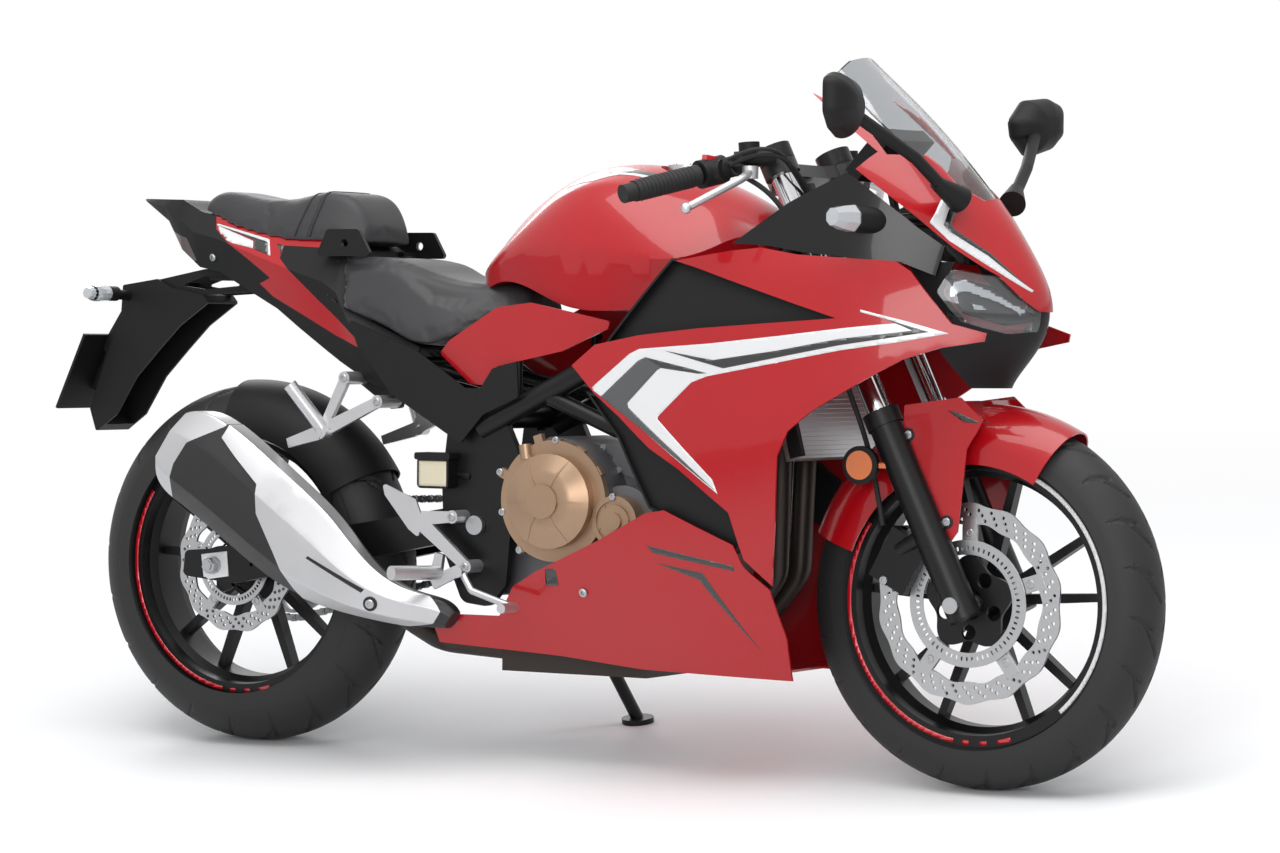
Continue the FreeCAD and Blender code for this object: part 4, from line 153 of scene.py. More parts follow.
def finish_of(name, base, roughness, metallic=0.0, grain_mm=1.5, grain=0.1, tone=0.85, spread=0.1, **sockets):
    """A base colour with a patchy tone, an uneven gloss and a fine bump, all in object space."""
    material, tree, shader = blank_material(name)
    place = add(tree, "ShaderNodeTexCoord").outputs["Object"]
    fine = add(tree, "ShaderNodeTexNoise", {"Vector": place}, {"Scale": 1 / (grain_mm * MM), "Detail": 2.0})
    broad = add(tree, "ShaderNodeTexNoise", {"Vector": place}, {"Scale": PATCHES_PER_M, "Detail": 3.0})
    darker = [c * tone for c in colour(base)[:3]] + [1]
    tones = add(tree, "ShaderNodeMix", {0: broad.outputs["Fac"]}, {6: darker, 7: colour(base)},
                data_type="RGBA")
    gloss = add(tree, "ShaderNodeMapRange", {"Value": fine.outputs["Fac"]},
                {"To Min": max(0.0, roughness - spread / 2), "To Max": roughness + spread / 2})
    bump = add(tree, "ShaderNodeBump", {"Height": fine.outputs["Fac"]},
               {"Strength": grain, "Distance": BUMP_M})
    tree.links.new(tones.outputs[2], shader.inputs["Base Color"])
    tree.links.new(gloss.outputs[0], shader.inputs["Roughness"])
    tree.links.new(bump.outputs[0], shader.inputs["Normal"])
    for socket, value in {"Metallic": metallic, **sockets}.items():
        shader.inputs[socket.replace("_", " ")].default_value = value
    return material


# %% [markdown]
# ## The bike's finishes
# Panels are ABS moulded, sprayed in a solid red and lacquered, so a thin clear coat gives hard, bright
# reflections over a softer red. The tank is the same paint on steel. Unpainted covers keep the fine
# grain of the mould. The frame and wheels are powder coated, which is smoother than plastic but still
# a little wavy. Castings have the sandy skin of the mould under their paint.

# %% Painted, moulded and metal finishes
PAINT_RED = "#ad0713"
SOFT_SHINE = {"Specular_IOR_Level": 0.25}
LACQUERED = {"grain_mm": 3, "grain": 0.02, "tone": 0.93, "Coat_Weight": 0.6, "Coat_Roughness": 0.05,
             **SOFT_SHINE}
FINISHES = {
    "red_plastic": finish_of("lacquered_red_abs", PAINT_RED, 0.32, **LACQUERED),
    "red_metal": finish_of("lacquered_red_steel", PAINT_RED, 0.32, **LACQUERED),
    "black_plastic": finish_of("grained_black_abs", "#131314", 0.55, grain_mm=1.2, grain=0.25, **SOFT_SHINE),
    "black_gloss": finish_of("polished_black_abs", "#0a0a0b", 0.2, grain_mm=4, grain=0.02, Coat_Weight=0.3,
                             **SOFT_SHINE),
    "black_metal": finish_of("powder_coated_steel", "#0c0c0d", 0.38, grain_mm=2, grain=0.12,
                             Specular_IOR_Level=0.3),
    "grey_metal": finish_of("powder_coated_grey_steel", "#2b2b2c", 0.36, metallic=0.3, grain_mm=2, grain=0.1),
    "silver": finish_of("satin_cast_aluminium", "#c9c9cb", 0.36, metallic=0.85, grain_mm=1.5, grain=0.12),
    "cast_grey": finish_of("sand_cast_aluminium", "#77777a", 0.5, metallic=0.6, grain_mm=2.5, grain=0.4),
    "bronze": finish_of("bronze_painted_casting", "#a5886f", 0.33, metallic=0.65, grain_mm=1.5, grain=0.08),
    "steel": finish_of("brushed_stainless_steel", "#b6b7b9", 0.34, metallic=1.0, grain_mm=2, grain=0.08),
    "chrome": finish_of("hard_chrome_tube", "#dcdcde", 0.1, metallic=1.0, grain_mm=3, grain=0.01,
                        spread=0.04),
    "tyre": finish_of("carbon_black_tyre_rubber", "#151516", 0.62, grain_mm=1.5, grain=0.3, tone=0.7),
    "rubber": finish_of("soft_moulded_rubber", "#111112", 0.7, grain_mm=1, grain=0.3),
    "seat_cover": finish_of("grained_vinyl_seat_cover", "#2f2f31", 0.55, grain_mm=1.8, grain=0.8),
    "amber": finish_of("amber_reflector_acrylic", "#d86a10", 0.15, grain_mm=4, grain=0.5, Coat_Weight=1.0),
    "red_lens": finish_of("smoked_red_acrylic", "#3a0608", 0.1, grain_mm=4, grain=0.05, Coat_Weight=1.0),
}


# %% [markdown]
# ## Clear plastics
# The screen is one 3 mm sheet of polycarbonate and the lamp lenses are clear mouldings. Both are
# shells with a real thickness, so light is allowed through them with the plastic's own IOR of 1.58.

# %% Screen and lens
CLEAR_IOR, HAZE_PER_M = 1.58, 60.0
CLEAREST, HAZIEST = 0.018, 0.042


def clear_of(name, tint, weight):
    """A clear plastic whose roughness wanders a little, as haze and fine scratches make it."""
    material, tree, shader = blank_material(name)
    place = add(tree, "ShaderNodeTexCoord").outputs["Object"]
    haze = add(tree, "ShaderNodeTexNoise", {"Vector": place}, {"Scale": HAZE_PER_M, "Detail": 2.0})
    rough = add(tree, "ShaderNodeMapRange", {"Value": haze.outputs["Fac"]},
                {"To Min": CLEAREST, "To Max": HAZIEST})
    tree.links.new(rough.outputs[0], shader.inputs["Roughness"])
    for socket, value in (("Base Color", colour(tint)), ("Transmission Weight", weight), ("IOR", CLEAR_IOR)):
        shader.inputs[socket].default_value = value
    return material


FINISHES["clear"] = clear_of("clear_polycarbonate_screen", "#f2f4f5", 1.0)
FINISHES["lens"] = clear_of("clear_lamp_lens", "#e6eaec", 0.95)
print("finishes:", len(FINISHES))

# %% [markdown]
# ## Dressing the solids
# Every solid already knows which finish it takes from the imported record, so one loop gives them out.
# The solids arrive as loose triangles. A Weld modifier joins them, and smoothing by angle keeps
# real edges sharp while curved panels turn smooth.

# %% Finish and smoothing on every solid
SMOOTH_ANGLE_DEG, WELD_M = 28.0, 0.00001


def smoothing_tree():
    """A tree that shades every face smooth but keeps the edges that turn by more than the angle."""
    tree = bpy.data.node_groups.new("smooth_by_angle", "GeometryNodeTree")
    tree.interface.new_socket("Geometry", in_out="INPUT", socket_type="NodeSocketGeometry")
    tree.interface.new_socket("Geometry", in_out="OUTPUT", socket_type="NodeSocketGeometry")
    start = add(tree, "NodeGroupInput")
    angle = add(tree, "GeometryNodeInputMeshEdgeAngle")
    soft = add(tree, "FunctionNodeCompare", {0: angle.outputs["Unsigned Angle"]},
               {1: math.radians(SMOOTH_ANGLE_DEG)}, data_type="FLOAT", operation="LESS_THAN")
    faces = add(tree, "GeometryNodeSetShadeSmooth", {0: start.outputs[0]}, {2: True}, domain="FACE")
    edges = add(tree, "GeometryNodeSetShadeSmooth", {0: faces.outputs[0], 2: soft.outputs[0]}, domain="EDGE")
    add(tree, "NodeGroupOutput", {0: edges.outputs[0]})
    return tree


SMOOTHING = smoothing_tree()
# Header pipes brown and dull with heat, so they don't take the bright steel of the discs.
HEAT_TINTED = finish_of("heat_tinted_header_steel", "#3c3632", 0.42, metallic=0.7, grain_mm=3, grain=0.1)
slot_of = {part["node"]: part["material_slot"] for part in frame["record"]["subparts"]}
for name, solid in nodes.items():
    solid.data.materials.clear()
    solid.data.materials.append(HEAT_TINTED if name == "exhaust_pipes" else FINISHES[slot_of[name]])
    weld = solid.modifiers.new("weld", "WELD")
    weld.merge_threshold = WELD_M
    solid.modifiers.new("smooth", "NODES").node_group = SMOOTHING
print("dressed:", len(nodes))

# %% [markdown]
# ## Studio
# A wide pale floor carries the shadow, one broad soft box above gives the panels their long
# highlights, and two weaker ones open up the dark side. The world is white only for what the camera,
# mirrors and clear parts see, so the light on the bike stays plain.

# %% Floor, lamps and world
FADE_FROM_M, FADE_TO_M = 1.1, 3.2
FLOOR_HALF_M, FLOOR_Z_M = 40.0, -0.0005
ROOM_GREY, BACKDROP_WHITE = "#9fa1a5", "#ffffff"


def pale_ground():
    """Matt white near the bike, so that it takes the shadow, and plain white light far from it."""
    material, tree, matt = blank_material("pale_studio_floor")
    matt.inputs["Base Color"].default_value = colour("#fafafa")
    matt.inputs["Roughness"].default_value = 0.9
    place = add(tree, "ShaderNodeTexCoord").outputs["Object"]
    away = add(tree, "ShaderNodeVectorMath", {0: place}, operation="LENGTH")
    fade = add(tree, "ShaderNodeMapRange", {"Value": away.outputs["Value"]},
               {"From Min": FADE_FROM_M, "From Max": FADE_TO_M}, interpolation_type="SMOOTHSTEP")
    seen = add(tree, "ShaderNodeLightPath")
    shown = add(tree, "ShaderNodeMath", {0: fade.outputs[0], 1: seen.outputs["Is Camera Ray"]},
                operation="MULTIPLY")
    glow = add(tree, "ShaderNodeEmission", None, {"Color": (1, 1, 1, 1), "Strength": 1.0})
    both = add(tree, "ShaderNodeMixShader", {0: shown.outputs[0], 1: matt.outputs[0], 2: glow.outputs[0]})
    tree.links.new(both.outputs[0], tree.nodes["Material Output"].inputs["Surface"])
    return material


corners = [(x * FLOOR_HALF_M, y * FLOOR_HALF_M, FLOOR_Z_M) for x, y in ((-1, -1), (1, -1), (1, 1), (-1, 1))]
floor_mesh = bpy.data.meshes.new("floor")
floor_mesh.from_pydata(corners, [], [(0, 1, 2, 3)])
floor_mesh.materials.append(pale_ground())
floor = object_of("floor", floor_mesh)


def soft_box(name, place, target, size, watts):
    """A rectangular lamp at a place, in metres, that faces a target."""
    lamp = bpy.data.lights.new(name, "AREA")
    lamp.shape = "RECTANGLE"
    lamp.size, lamp.size_y = size
    lamp.energy = watts
    holder = object_of(name, lamp)
    holder.location = place
    holder.rotation_euler = (Vector(target) - Vector(place)).to_track_quat("-Z", "Y").to_euler()


soft_box("overhead_box", (0.6, -0.8, 4.2), (0, 0, 0.6), (5.0, 3.0), 170)
soft_box("side_box", (2.5, -5.5, 2.6), (0, 0, 0.5), (3.5, 2.0), 110)
soft_box("back_box", (-3.5, 3.5, 2.8), (0, 0, 0.6), (2.5, 2.0), 70)

world = bpy.data.worlds.new("studio_world")
bpy.context.scene.world = world
world.use_nodes = True
tree = world.node_tree
seen = add(tree, "ShaderNodeLightPath")
backdrop = tree.nodes["Background"]
backdrop.inputs["Strength"].default_value = 1.0
plain = add(tree, "ShaderNodeMath",
            {0: seen.outputs["Is Camera Ray"], 1: seen.outputs["Is Transmission Ray"]}, operation="MAXIMUM")
mirrored = add(tree, "ShaderNodeMath", {0: plain.outputs[0], 1: seen.outputs["Is Glossy Ray"]},
               operation="MAXIMUM")
tint = add(tree, "ShaderNodeMix", {0: mirrored.outputs[0]}, {6: colour(ROOM_GREY), 7: colour(BACKDROP_WHITE)},
           data_type="RGBA")
tree.links.new(tint.outputs[2], backdrop.inputs["Color"])

# %% [markdown]
# ## Making a piece
# Each extra piece is drawn upright in millimetres and joined to the body that carries it. One helper
# takes its mesh, leans it into place, makes it an object, and tells the frame which body it rides on
# and which finish it takes. Two more find points by an angle and a radius, as round parts need.

# %% From a mesh to a piece
def finish_piece(name, mesh, body, slot, finish=None, smooth=True, upright=True):
    """A mesh as a named piece: leant into place, finished and given its body; the slot picks a finish if none is.
    """
    if upright:
        mesh.transform(PARKED)
    mesh.name = name
    mesh.materials.clear()
    mesh.materials.append(finish or FINISHES[slot])
    for face in mesh.polygons:
        face.use_smooth = smooth
    holder = object_of(name, mesh)
    if smooth:
        holder.modifiers.new("smooth", "NODES").node_group = SMOOTHING
    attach(holder, body)
    print(name, len(mesh.polygons), "faces")
    return holder


def polar(angle_deg, radius):
    """The two coordinates of a point, by its angle and its radius."""
    return radius * math.cos(math.radians(angle_deg)), radius * math.sin(math.radians(angle_deg))


def turned(centre, angle_deg, radius, y=0.0):
    """A point at a radius from an axle, by its angle from straight ahead towards the top."""
    x, z = polar(angle_deg, radius)
    return Vector((centre.x + x, y, centre.z + z))


# %% [markdown]
# ## Tyres with real grooves
# A road tyre is a carcass of rubber with sweeping grooves cut a few millimetres into the crown. A
# turned profile gives the carcass, and every point of it is then pushed in where a groove runs. The
# grooves follow one rule: a long slanted arc that starts near the middle and curls out to the
# shoulder, repeated round the tyre and mirrored with half a step between the sides.

# %% Tyre
TREAD_DEPTH, GROOVE_HALF, GROOVE_SLOPE, GIRTH = 3.2, 3.4, 1.5, 1900.0
# Each groove: its start, sweep and bend as shares of a step, and its reach from middle (0) to shoulder (1)
GROOVES = ((0.10, 0.62, 0.18, 0.06, 0.74), (0.62, 0.30, -0.05, 0.34, 0.92))
BLUNT_START, TAPER = 0.12, 0.95
CROWN_STEPS, CROWN_EDGE_DEG, TURN_STEPS = 56, 8, 720
FLANGE_RADIUS, BEAD_RADIUS, BEAD_INSET = 233.0, 218.0, 5.3


def groove_depth(turn_share, across, repeats):
    """How deep the tread is cut at a place: the share of a turn, and -1..1 from shoulder to shoulder."""
    shift = 0.0 if across < 0 else 0.5
    out = abs(across)
    step = (turn_share * repeats + shift) % 1.0
    deepest = 0.0
    for start, sweep, bend, first, last in GROOVES:
        if not first < out < last:
            continue
        share = (out - first) / (last - first)
        middle = (start + sweep * share + bend * share * share) % 1.0
        off = abs((step - middle + 0.5) % 1.0 - 0.5) * GIRTH / repeats
        half = GROOVE_HALF * math.sin(math.pi * min(1.0, BLUNT_START + TAPER * share)) ** 0.5
        deepest = max(deepest, min(1.0, (half + GROOVE_SLOPE - off) / GROOVE_SLOPE))
    return deepest * TREAD_DEPTH


def tyre(name, node, body, centre, radius, half_width, rim_half, repeats):
    """A carcass turned from bead to bead over a round crown, with the tread pressed in."""
    crown_centre, bead_y = radius - half_width, rim_half - BEAD_INSET
    crown = []
    for step in range(CROWN_STEPS + 1):
        y, rise = polar(CROWN_EDGE_DEG + (180 - 2 * CROWN_EDGE_DEG) * step / CROWN_STEPS, half_width)
        crown.append((crown_centre + rise, -y, True))
    # Down the wall, over the rib that guards the rim, and in to the bead
    wall = [(crown_centre - 6, half_width + 1.0), (FLANGE_RADIUS + 22, half_width - 3.0),
            (FLANGE_RADIUS + 15, half_width - 4.6), (FLANGE_RADIUS + 13, half_width - 6.4),
            (FLANGE_RADIUS + 4, bead_y + 1.5), (BEAD_RADIUS, bead_y)]
    right = [(r, -y, False) for r, y in reversed(wall)]
    left = [(r, y, False) for r, y in wall]
    profile = right + crown + left
    count = len(profile)
    points, faces = [], []
    for i in range(TURN_STEPS):
        share, after = i / TURN_STEPS, (i + 1) % TURN_STEPS
        for r, y, tread in profile:
            depth = groove_depth(share, y / half_width, repeats) if tread else 0.0
            points.append(turned(centre, 360 * share, r - depth, y))
        faces += [(i * count + j, i * count + j + 1, after * count + j + 1, after * count + j)
                  for j in range(count - 1)]
    mesh = bpy.data.meshes.new(name)
    mesh.from_pydata(points, [], faces)
    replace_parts(finish_piece(name, mesh, body, "tyre"), node)


tyre("front_tyre_tread", "front_tyre", "front_wheel", FRONT_AXLE, FRONT_RADIUS,
     half_width=60.0, rim_half=49.0, repeats=22)
tyre("rear_tyre_tread", "rear_tyre", "rear_wheel", REAR_AXLE, REAR_RADIUS,
     half_width=80.0, rim_half=62.0, repeats=20)

# %% [markdown]
# ## Drilled discs
# A brake disc is a flat steel ring whose wavy edge and rows of holes shed heat and weight. A flat
# curve can hold holes as inner loops, and extruding it gives the plate in one go, with clean edges
# that a boolean would not leave.

# %% Plates cut from a flat outline
PLATE_EDGE = 0.3


def mesh_from(book):
    """A mesh of what a bmesh holds; the bmesh is freed."""
    mesh = bpy.data.meshes.new("part")
    book.to_mesh(mesh)
    book.free()
    return mesh


def joined(meshes):
    """One mesh of several, which are removed."""
    book = bmesh.new()
    for mesh in meshes:
        book.from_mesh(mesh)
        bpy.data.meshes.remove(mesh)
    return mesh_from(book)


def as_mesh(holder):
    """A plain mesh of an object as its bevel or modifiers leave it; the object is removed."""
    mesh = bpy.data.meshes.new_from_object(holder.evaluated_get(bpy.context.evaluated_depsgraph_get()))
    bpy.data.objects.remove(holder)
    return mesh


def plate(centre, y, thickness, outer, holes=()):
    """A plate across an axle with softened edges: its outline and holes are loops of (x, z) offsets."""
    curve = bpy.data.curves.new("plate", "CURVE")
    curve.dimensions = "2D"
    curve.fill_mode = "BOTH"
    curve.extrude = thickness / 2 - PLATE_EDGE
    curve.bevel_depth = PLATE_EDGE
    curve.bevel_resolution = 1
    for loop in (outer, *holes):
        spline = curve.splines.new("POLY")
        spline.points.add(len(loop) - 1)
        for point, (x, z) in zip(spline.points, loop):
            point.co = (x, z, 0, 1)
        spline.use_cyclic_u = True
    mesh = as_mesh(object_of("plate", curve))
    mesh.transform(Matrix.Translation((centre.x, y, centre.z)) @ Matrix.Rotation(math.radians(90), 4, "X"))
    return mesh


# %% Loops for plates and holes
def circle(x, z, radius, steps):
    """A round loop of points."""
    return [(x + a, z + b) for a, b in (polar(360 * k / steps, radius) for k in range(steps))]


def wavy(radius, swing, lobes, step_deg, shift_deg=0):
    """A loop about the axle whose radius swings out and in once for each lobe."""
    return [polar(k, radius + swing * math.cos(math.radians(k * lobes + shift_deg)))
            for k in range(0, 360, step_deg)]


def slot_hole(angle_deg, inner, outer, half):
    """A round-ended slot along a radius, with seven points round each end."""
    c, s = polar(angle_deg, 1.0)
    loop = []
    for end, first_deg in ((outer, -90), (inner, 90)):
        for k in range(7):
            u, v = polar(first_deg + 30 * k, half)
            loop.append(((end + u) * c - v * s, (end + u) * s + v * c))
    return loop


# %% Track, sensor ring and hub of each disc
TRACK_THICKNESS, RING_THICKNESS, HUB_THICKNESS = 5.0, 2.5, 8.0
RING_OFFSET, TAB_OFFSET, HUB_OFFSET, ROWS_PER_LOBE = -6.0, 1.0, 2.0, 3
TRACK_WAVE, HUB_WAVE, HOLE_RADIUS, SLOT_HALF, AXLE_HOLE = 5.0, 9.0, 3.3, 2.0, 26.0
# Each hole of a row: its place across the track, and its lean round the disc, in degrees at LEAN_RADIUS
HOLE_ROW, LEAN_RADIUS = ((0.22, -4), (0.45, 0), (0.66, 4)), 110.0
TABS, BETWEEN_TABS = [18 + 72 * k for k in range(5)], 36
TAB_FOOT_DEG, TAB_TIP_DEG, TAB_OVERLAP = 9, 5, 10.0
# Shares of the track's inner radius
RING_INNER, SLOT_INNER, SLOT_OUTER, RING_OUTER = 0.62, 0.68, 0.71, 0.8
HUB, WINDOW_AT, WINDOW = 0.54, 0.36, 0.1


def disc(name, node, body, centre, y, radius, track, lobes):
    """A drilled track on five tabs with its slotted sensor ring, in place of a node, and a black hub."""
    inner = radius - track
    holes = [wavy(inner, 0.4 * TRACK_WAVE, lobes, step_deg=3)]
    rows = ROWS_PER_LOBE * lobes
    for row in range(rows):
        turn = (row + 0.5) * 360 / rows
        for share, lean in HOLE_ROW:
            x, z = polar(turn + lean * LEAN_RADIUS / radius, inner + track * share)
            holes.append(circle(x, z, HOLE_RADIUS, steps=10))
    edge = wavy(radius - TRACK_WAVE / 2, -TRACK_WAVE / 2, lobes, step_deg=2)
    plates = [plate(centre, y, TRACK_THICKNESS, edge, holes)]
    slots = [slot_hole(turn, inner * SLOT_INNER, inner * SLOT_OUTER, SLOT_HALF) for turn in range(0, 360, 6)]
    slots.append(circle(0, 0, inner * RING_INNER, steps=60))
    ring_edge = circle(0, 0, inner * RING_OUTER, steps=72)
    plates.append(plate(centre, y + RING_OFFSET, RING_THICKNESS, ring_edge, slots))
    for turn in TABS:
        tab = [polar(turn + sign * TAB_FOOT_DEG, inner * RING_INNER) for sign in (-1, 1)]
        tab += [polar(turn + sign * TAB_TIP_DEG, inner + TAB_OVERLAP) for sign in (1, -1)]
        plates.append(plate(centre, y + TAB_OFFSET, HUB_THICKNESS, tab))
    hub_edge = wavy(inner * HUB, HUB_WAVE, lobes=5, step_deg=4, shift_deg=-90)
    windows = [circle(*polar(turn + BETWEEN_TABS, inner * WINDOW_AT), inner * WINDOW, steps=16)
               for turn in TABS]
    hub_holes = [circle(0, 0, AXLE_HOLE, steps=40), *windows]
    hub = plate(centre, y + HUB_OFFSET, HUB_THICKNESS, hub_edge, hub_holes)
    finish_piece(name + "_hub", hub, body, "black_metal")
    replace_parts(finish_piece(name, joined(plates), body, "steel"), node)


disc("front_disc_plate", "front_disc", "front_wheel", FRONT_AXLE, y=-69.5, radius=160.0, track=34.0, lobes=14)
disc("rear_disc_plate", "rear_disc", "rear_wheel", REAR_AXLE, y=-74.0, radius=120.0, track=30.0, lobes=12)

# %% [markdown]
# ## Seats swollen like real ones
# A seat is foam under a stretched vinyl cover. The solid has the right place and outline but reads as
# a block, so its surface is wrapped in small even faces, drawn in a little, and blown up again by a
# cloth simulation with air pressure inside. The swelling is capped, so the pad stays in the room that
# its solid holds.

# %% Wrapping and swelling
WRAP_M, DRAW_IN_M, SWELL_CAP_M, MERGE_M = 0.005, 0.003, 0.004, 0.00002
EVEN_SHARE, EVEN_ROUNDS = 0.5, 5
PRESSURE, SWELL_FRAMES = 4.0, 20


def wrapped(node):
    """A copy of a solid's skin in small even faces, drawn in all round."""
    book = bmesh.new()
    book.from_mesh(nodes[node].data)
    book.transform(nodes[node].matrix_world)
    bmesh.ops.remove_doubles(book, verts=book.verts, dist=MERGE_M)
    holder = object_of(node + "_wrap", mesh_from(book))
    wrap = holder.modifiers.new("wrap", "REMESH")
    wrap.mode, wrap.voxel_size = "VOXEL", WRAP_M
    even = holder.modifiers.new("even", "SMOOTH")
    even.factor, even.iterations = EVEN_SHARE, EVEN_ROUNDS
    made = as_mesh(holder)
    for vertex, normal in zip(made.vertices, [v.normal.copy() for v in made.vertices]):
        vertex.co -= normal * DRAW_IN_M
    return made


def swollen(mesh):
    """The wrapped skin after it is blown up, with no point moved further than the cap."""
    holder = object_of("swelling", mesh)
    cloth = holder.modifiers.new("swell", "CLOTH")
    cloth.settings.use_pressure = True
    cloth.settings.uniform_pressure_force = PRESSURE
    cloth.settings.effector_weights.gravity = 0.0
    cloth.point_cache.frame_start, cloth.point_cache.frame_end = 1, SWELL_FRAMES
    for frame_number in range(1, SWELL_FRAMES + 1):
        bpy.context.scene.frame_set(frame_number)
    blown = holder.evaluated_get(bpy.context.evaluated_depsgraph_get())
    steps = [v.co - w.co for v, w in zip(blown.data.vertices, mesh.vertices)]
    holder.modifiers.remove(cloth)
    bpy.context.scene.frame_set(1)
    for vertex, step in zip(mesh.vertices, steps):
        vertex.co += step * min(1.0, SWELL_CAP_M / max(step.length, 1e-9))
    bpy.data.objects.remove(holder)
    return mesh


def pad(name, node):
    """A seat's swollen cover, rounded once more, in place of its solid."""
    made = finish_piece(name, swollen(wrapped(node)), "bike", "seat_cover", upright=False)
    made.modifiers.remove(made.modifiers["smooth"])
    rounder = made.modifiers.new("rounder", "SUBSURF")
    rounder.levels = rounder.render_levels = 1
    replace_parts(made, node)
    return made


rider_pad = pad("rider_pad", "rider_seat")
pillion_pad = pad("pillion_pad", "pillion_seat")

# %% [markdown]
# ## Cords, welts and cables
# A welt on a seat, a control cable and a hose are all one round section along a path. A curve with a
# bevel makes the tube, and turning it to a mesh at once lets it be placed like any other piece.

# %% A round section along a path
TUBE_STEPS = 6


def tube(points, radius, roundness=4):
    """A mesh tube along a smooth curve that the points steer."""
    curve = bpy.data.curves.new("path", "CURVE")
    curve.dimensions = "3D"
    curve.bevel_depth, curve.bevel_resolution, curve.use_fill_caps = radius, roundness, True
    spline = curve.splines.new("NURBS")
    spline.points.add(len(points) - 1)
    for spot, point in zip(spline.points, points):
        spot.co = (*point, 1)
    spline.order_u, spline.use_endpoint_u, spline.resolution_u = 3, True, TUBE_STEPS
    return as_mesh(object_of("path", curve))


def skin_tree(meshes):
    """A search tree, in upright millimetres, of surfaces given as meshes with their matrices."""
    points, faces = [], []
    for mesh, matrix in meshes:
        start = len(points)
        points += [UPRIGHT @ matrix @ v.co for v in mesh.vertices]
        faces += [[start + i for i in p.vertices] for p in mesh.polygons]
    return BVHTree.FromPolygons(points, faces)


def solids_tree(names):
    """A search tree of the named solids."""
    return skin_tree([(nodes[name].data, nodes[name].matrix_world) for name in names])


# %% Welts of the pillion pad
WELT_RADIUS, PAD_CENTRE_Z = 1.8, 896.0
SEAM_REACH_DEG, SEAM_STEP_DEG, SEAM_CURVE = 104, 4, 1.6


def seam_over(skin, top_x, low_x):
    """Places over a pad from side to side, further back at the sides, each with the way outwards."""
    found = []
    for turn in range(-SEAM_REACH_DEG, SEAM_REACH_DEG + 1, SEAM_STEP_DEG):
        share = abs(turn) / SEAM_REACH_DEG
        start = Vector((top_x + (low_x - top_x) * share ** SEAM_CURVE, 0, PAD_CENTRE_Z))
        up, aside = polar(turn, 1.0)
        way = Vector((0, aside, up))
        spot = skin.ray_cast(start, way)[0]
        if spot:
            found.append((spot, way))
    return found


pillion_skin = skin_tree([(pillion_pad.data, Matrix())])
front_seam = seam_over(pillion_skin, top_x=-513, low_x=-546)
back_seam = seam_over(pillion_skin, top_x=-538, low_x=-580)
welts = [tube([spot for spot, way in seam], WELT_RADIUS) for seam in (front_seam, back_seam)]
finish_piece("pillion_welts", joined(welts), "bike", "seat_cover", FINISHES["rubber"])

# %% [markdown]
# ## One tree that sets out repeated parts
# Screws, stitches, chain links and cooling fins are the same job: one small part, many places. The
# places are points that each carry an outward direction, a direction along and a size. The tree puts
# the part on every point, turns it to those directions and makes the copies real.

# %% The tree and the helper that runs it
def setting_tree():
    """A tree that sets a part out on points, turned and sized by what each point carries."""
    tree = bpy.data.node_groups.new("set_out_parts", "GeometryNodeTree")
    sockets = (("Places", "Geometry", "INPUT"), ("Part", "Object", "INPUT"), ("Scale", "Float", "INPUT"),
               ("Finish", "Material", "INPUT"), ("Parts", "Geometry", "OUTPUT"))
    for label, kind, way in sockets:
        tree.interface.new_socket(label, in_out=way, socket_type="NodeSocket" + kind)
    given = add(tree, "NodeGroupInput").outputs
    up, along = [
        add(tree, "GeometryNodeInputNamedAttribute", None, {0: label}, data_type="FLOAT_VECTOR").outputs[0]
        for label in ("up", "along")
    ]
    size = add(tree, "GeometryNodeInputNamedAttribute", None, {0: "size"}, data_type="FLOAT").outputs[0]
    scale = add(tree, "ShaderNodeMath", {0: size, 1: given["Scale"]}, operation="MULTIPLY").outputs[0]
    stood = add(tree, "FunctionNodeAlignRotationToVector", {"Vector": up}, axis="Z")
    turn = add(tree, "FunctionNodeAlignRotationToVector", {"Rotation": stood.outputs[0], "Vector": along},
               axis="X", pivot_axis="Z")
    part = add(tree, "GeometryNodeObjectInfo", {"Object": given["Part"]})
    copies = add(tree, "GeometryNodeInstanceOnPoints",
                 {"Points": given["Places"], "Instance": part.outputs["Geometry"],
                  "Rotation": turn.outputs[0], "Scale": scale})
    real = add(tree, "GeometryNodeRealizeInstances", {0: copies.outputs[0]})
    painted = add(tree, "GeometryNodeSetMaterial", {0: real.outputs[0], "Material": given["Finish"]})
    add(tree, "NodeGroupOutput", {0: painted.outputs[0]})
    return tree


SETTING = setting_tree()


def set_out(name, part, places, body, slot, finish=None, scale=1.0, smooth=True):
    """One piece of a small part's copies, on places of point, up, along and, where it isn't 1, size."""
    guide = bpy.data.meshes.new(name + "_places")
    guide.from_pydata([tuple(place[0]) for place in places], [], [])
    columns = (("up", "FLOAT_VECTOR", "vector", 1), ("along", "FLOAT_VECTOR", "vector", 2),
               ("size", "FLOAT", "value", 3))
    for label, kind, field, column in columns:
        layer = guide.attributes.new(label, kind, "POINT")
        for item, place in zip(layer.data, places):
            setattr(item, field, place[column] if column < len(place) else 1.0)
    tool = object_of(name + "_part", part)
    holder = object_of(name + "_guide", guide)
    setting = holder.modifiers.new("set_out", "NODES")
    setting.node_group = SETTING
    given = {"Part": tool, "Scale": scale, "Finish": finish or FINISHES[slot]}
    for item in SETTING.interface.items_tree:
        if item.name in given:
            setting[item.identifier] = given[item.name]
    mesh = as_mesh(holder)
    bpy.data.objects.remove(tool)
    return finish_piece(name, mesh, body, slot, finish, smooth)


# %% Small parts from a few points
def part_of(points, faces):
    """A mesh of points and faces, with every face turned outwards."""
    book = bmesh.new()
    corners = [book.verts.new(point) for point in points]
    for face in faces:
        book.faces.new([corners[i] for i in face])
    bmesh.ops.recalc_face_normals(book, faces=book.faces)
    return mesh_from(book)


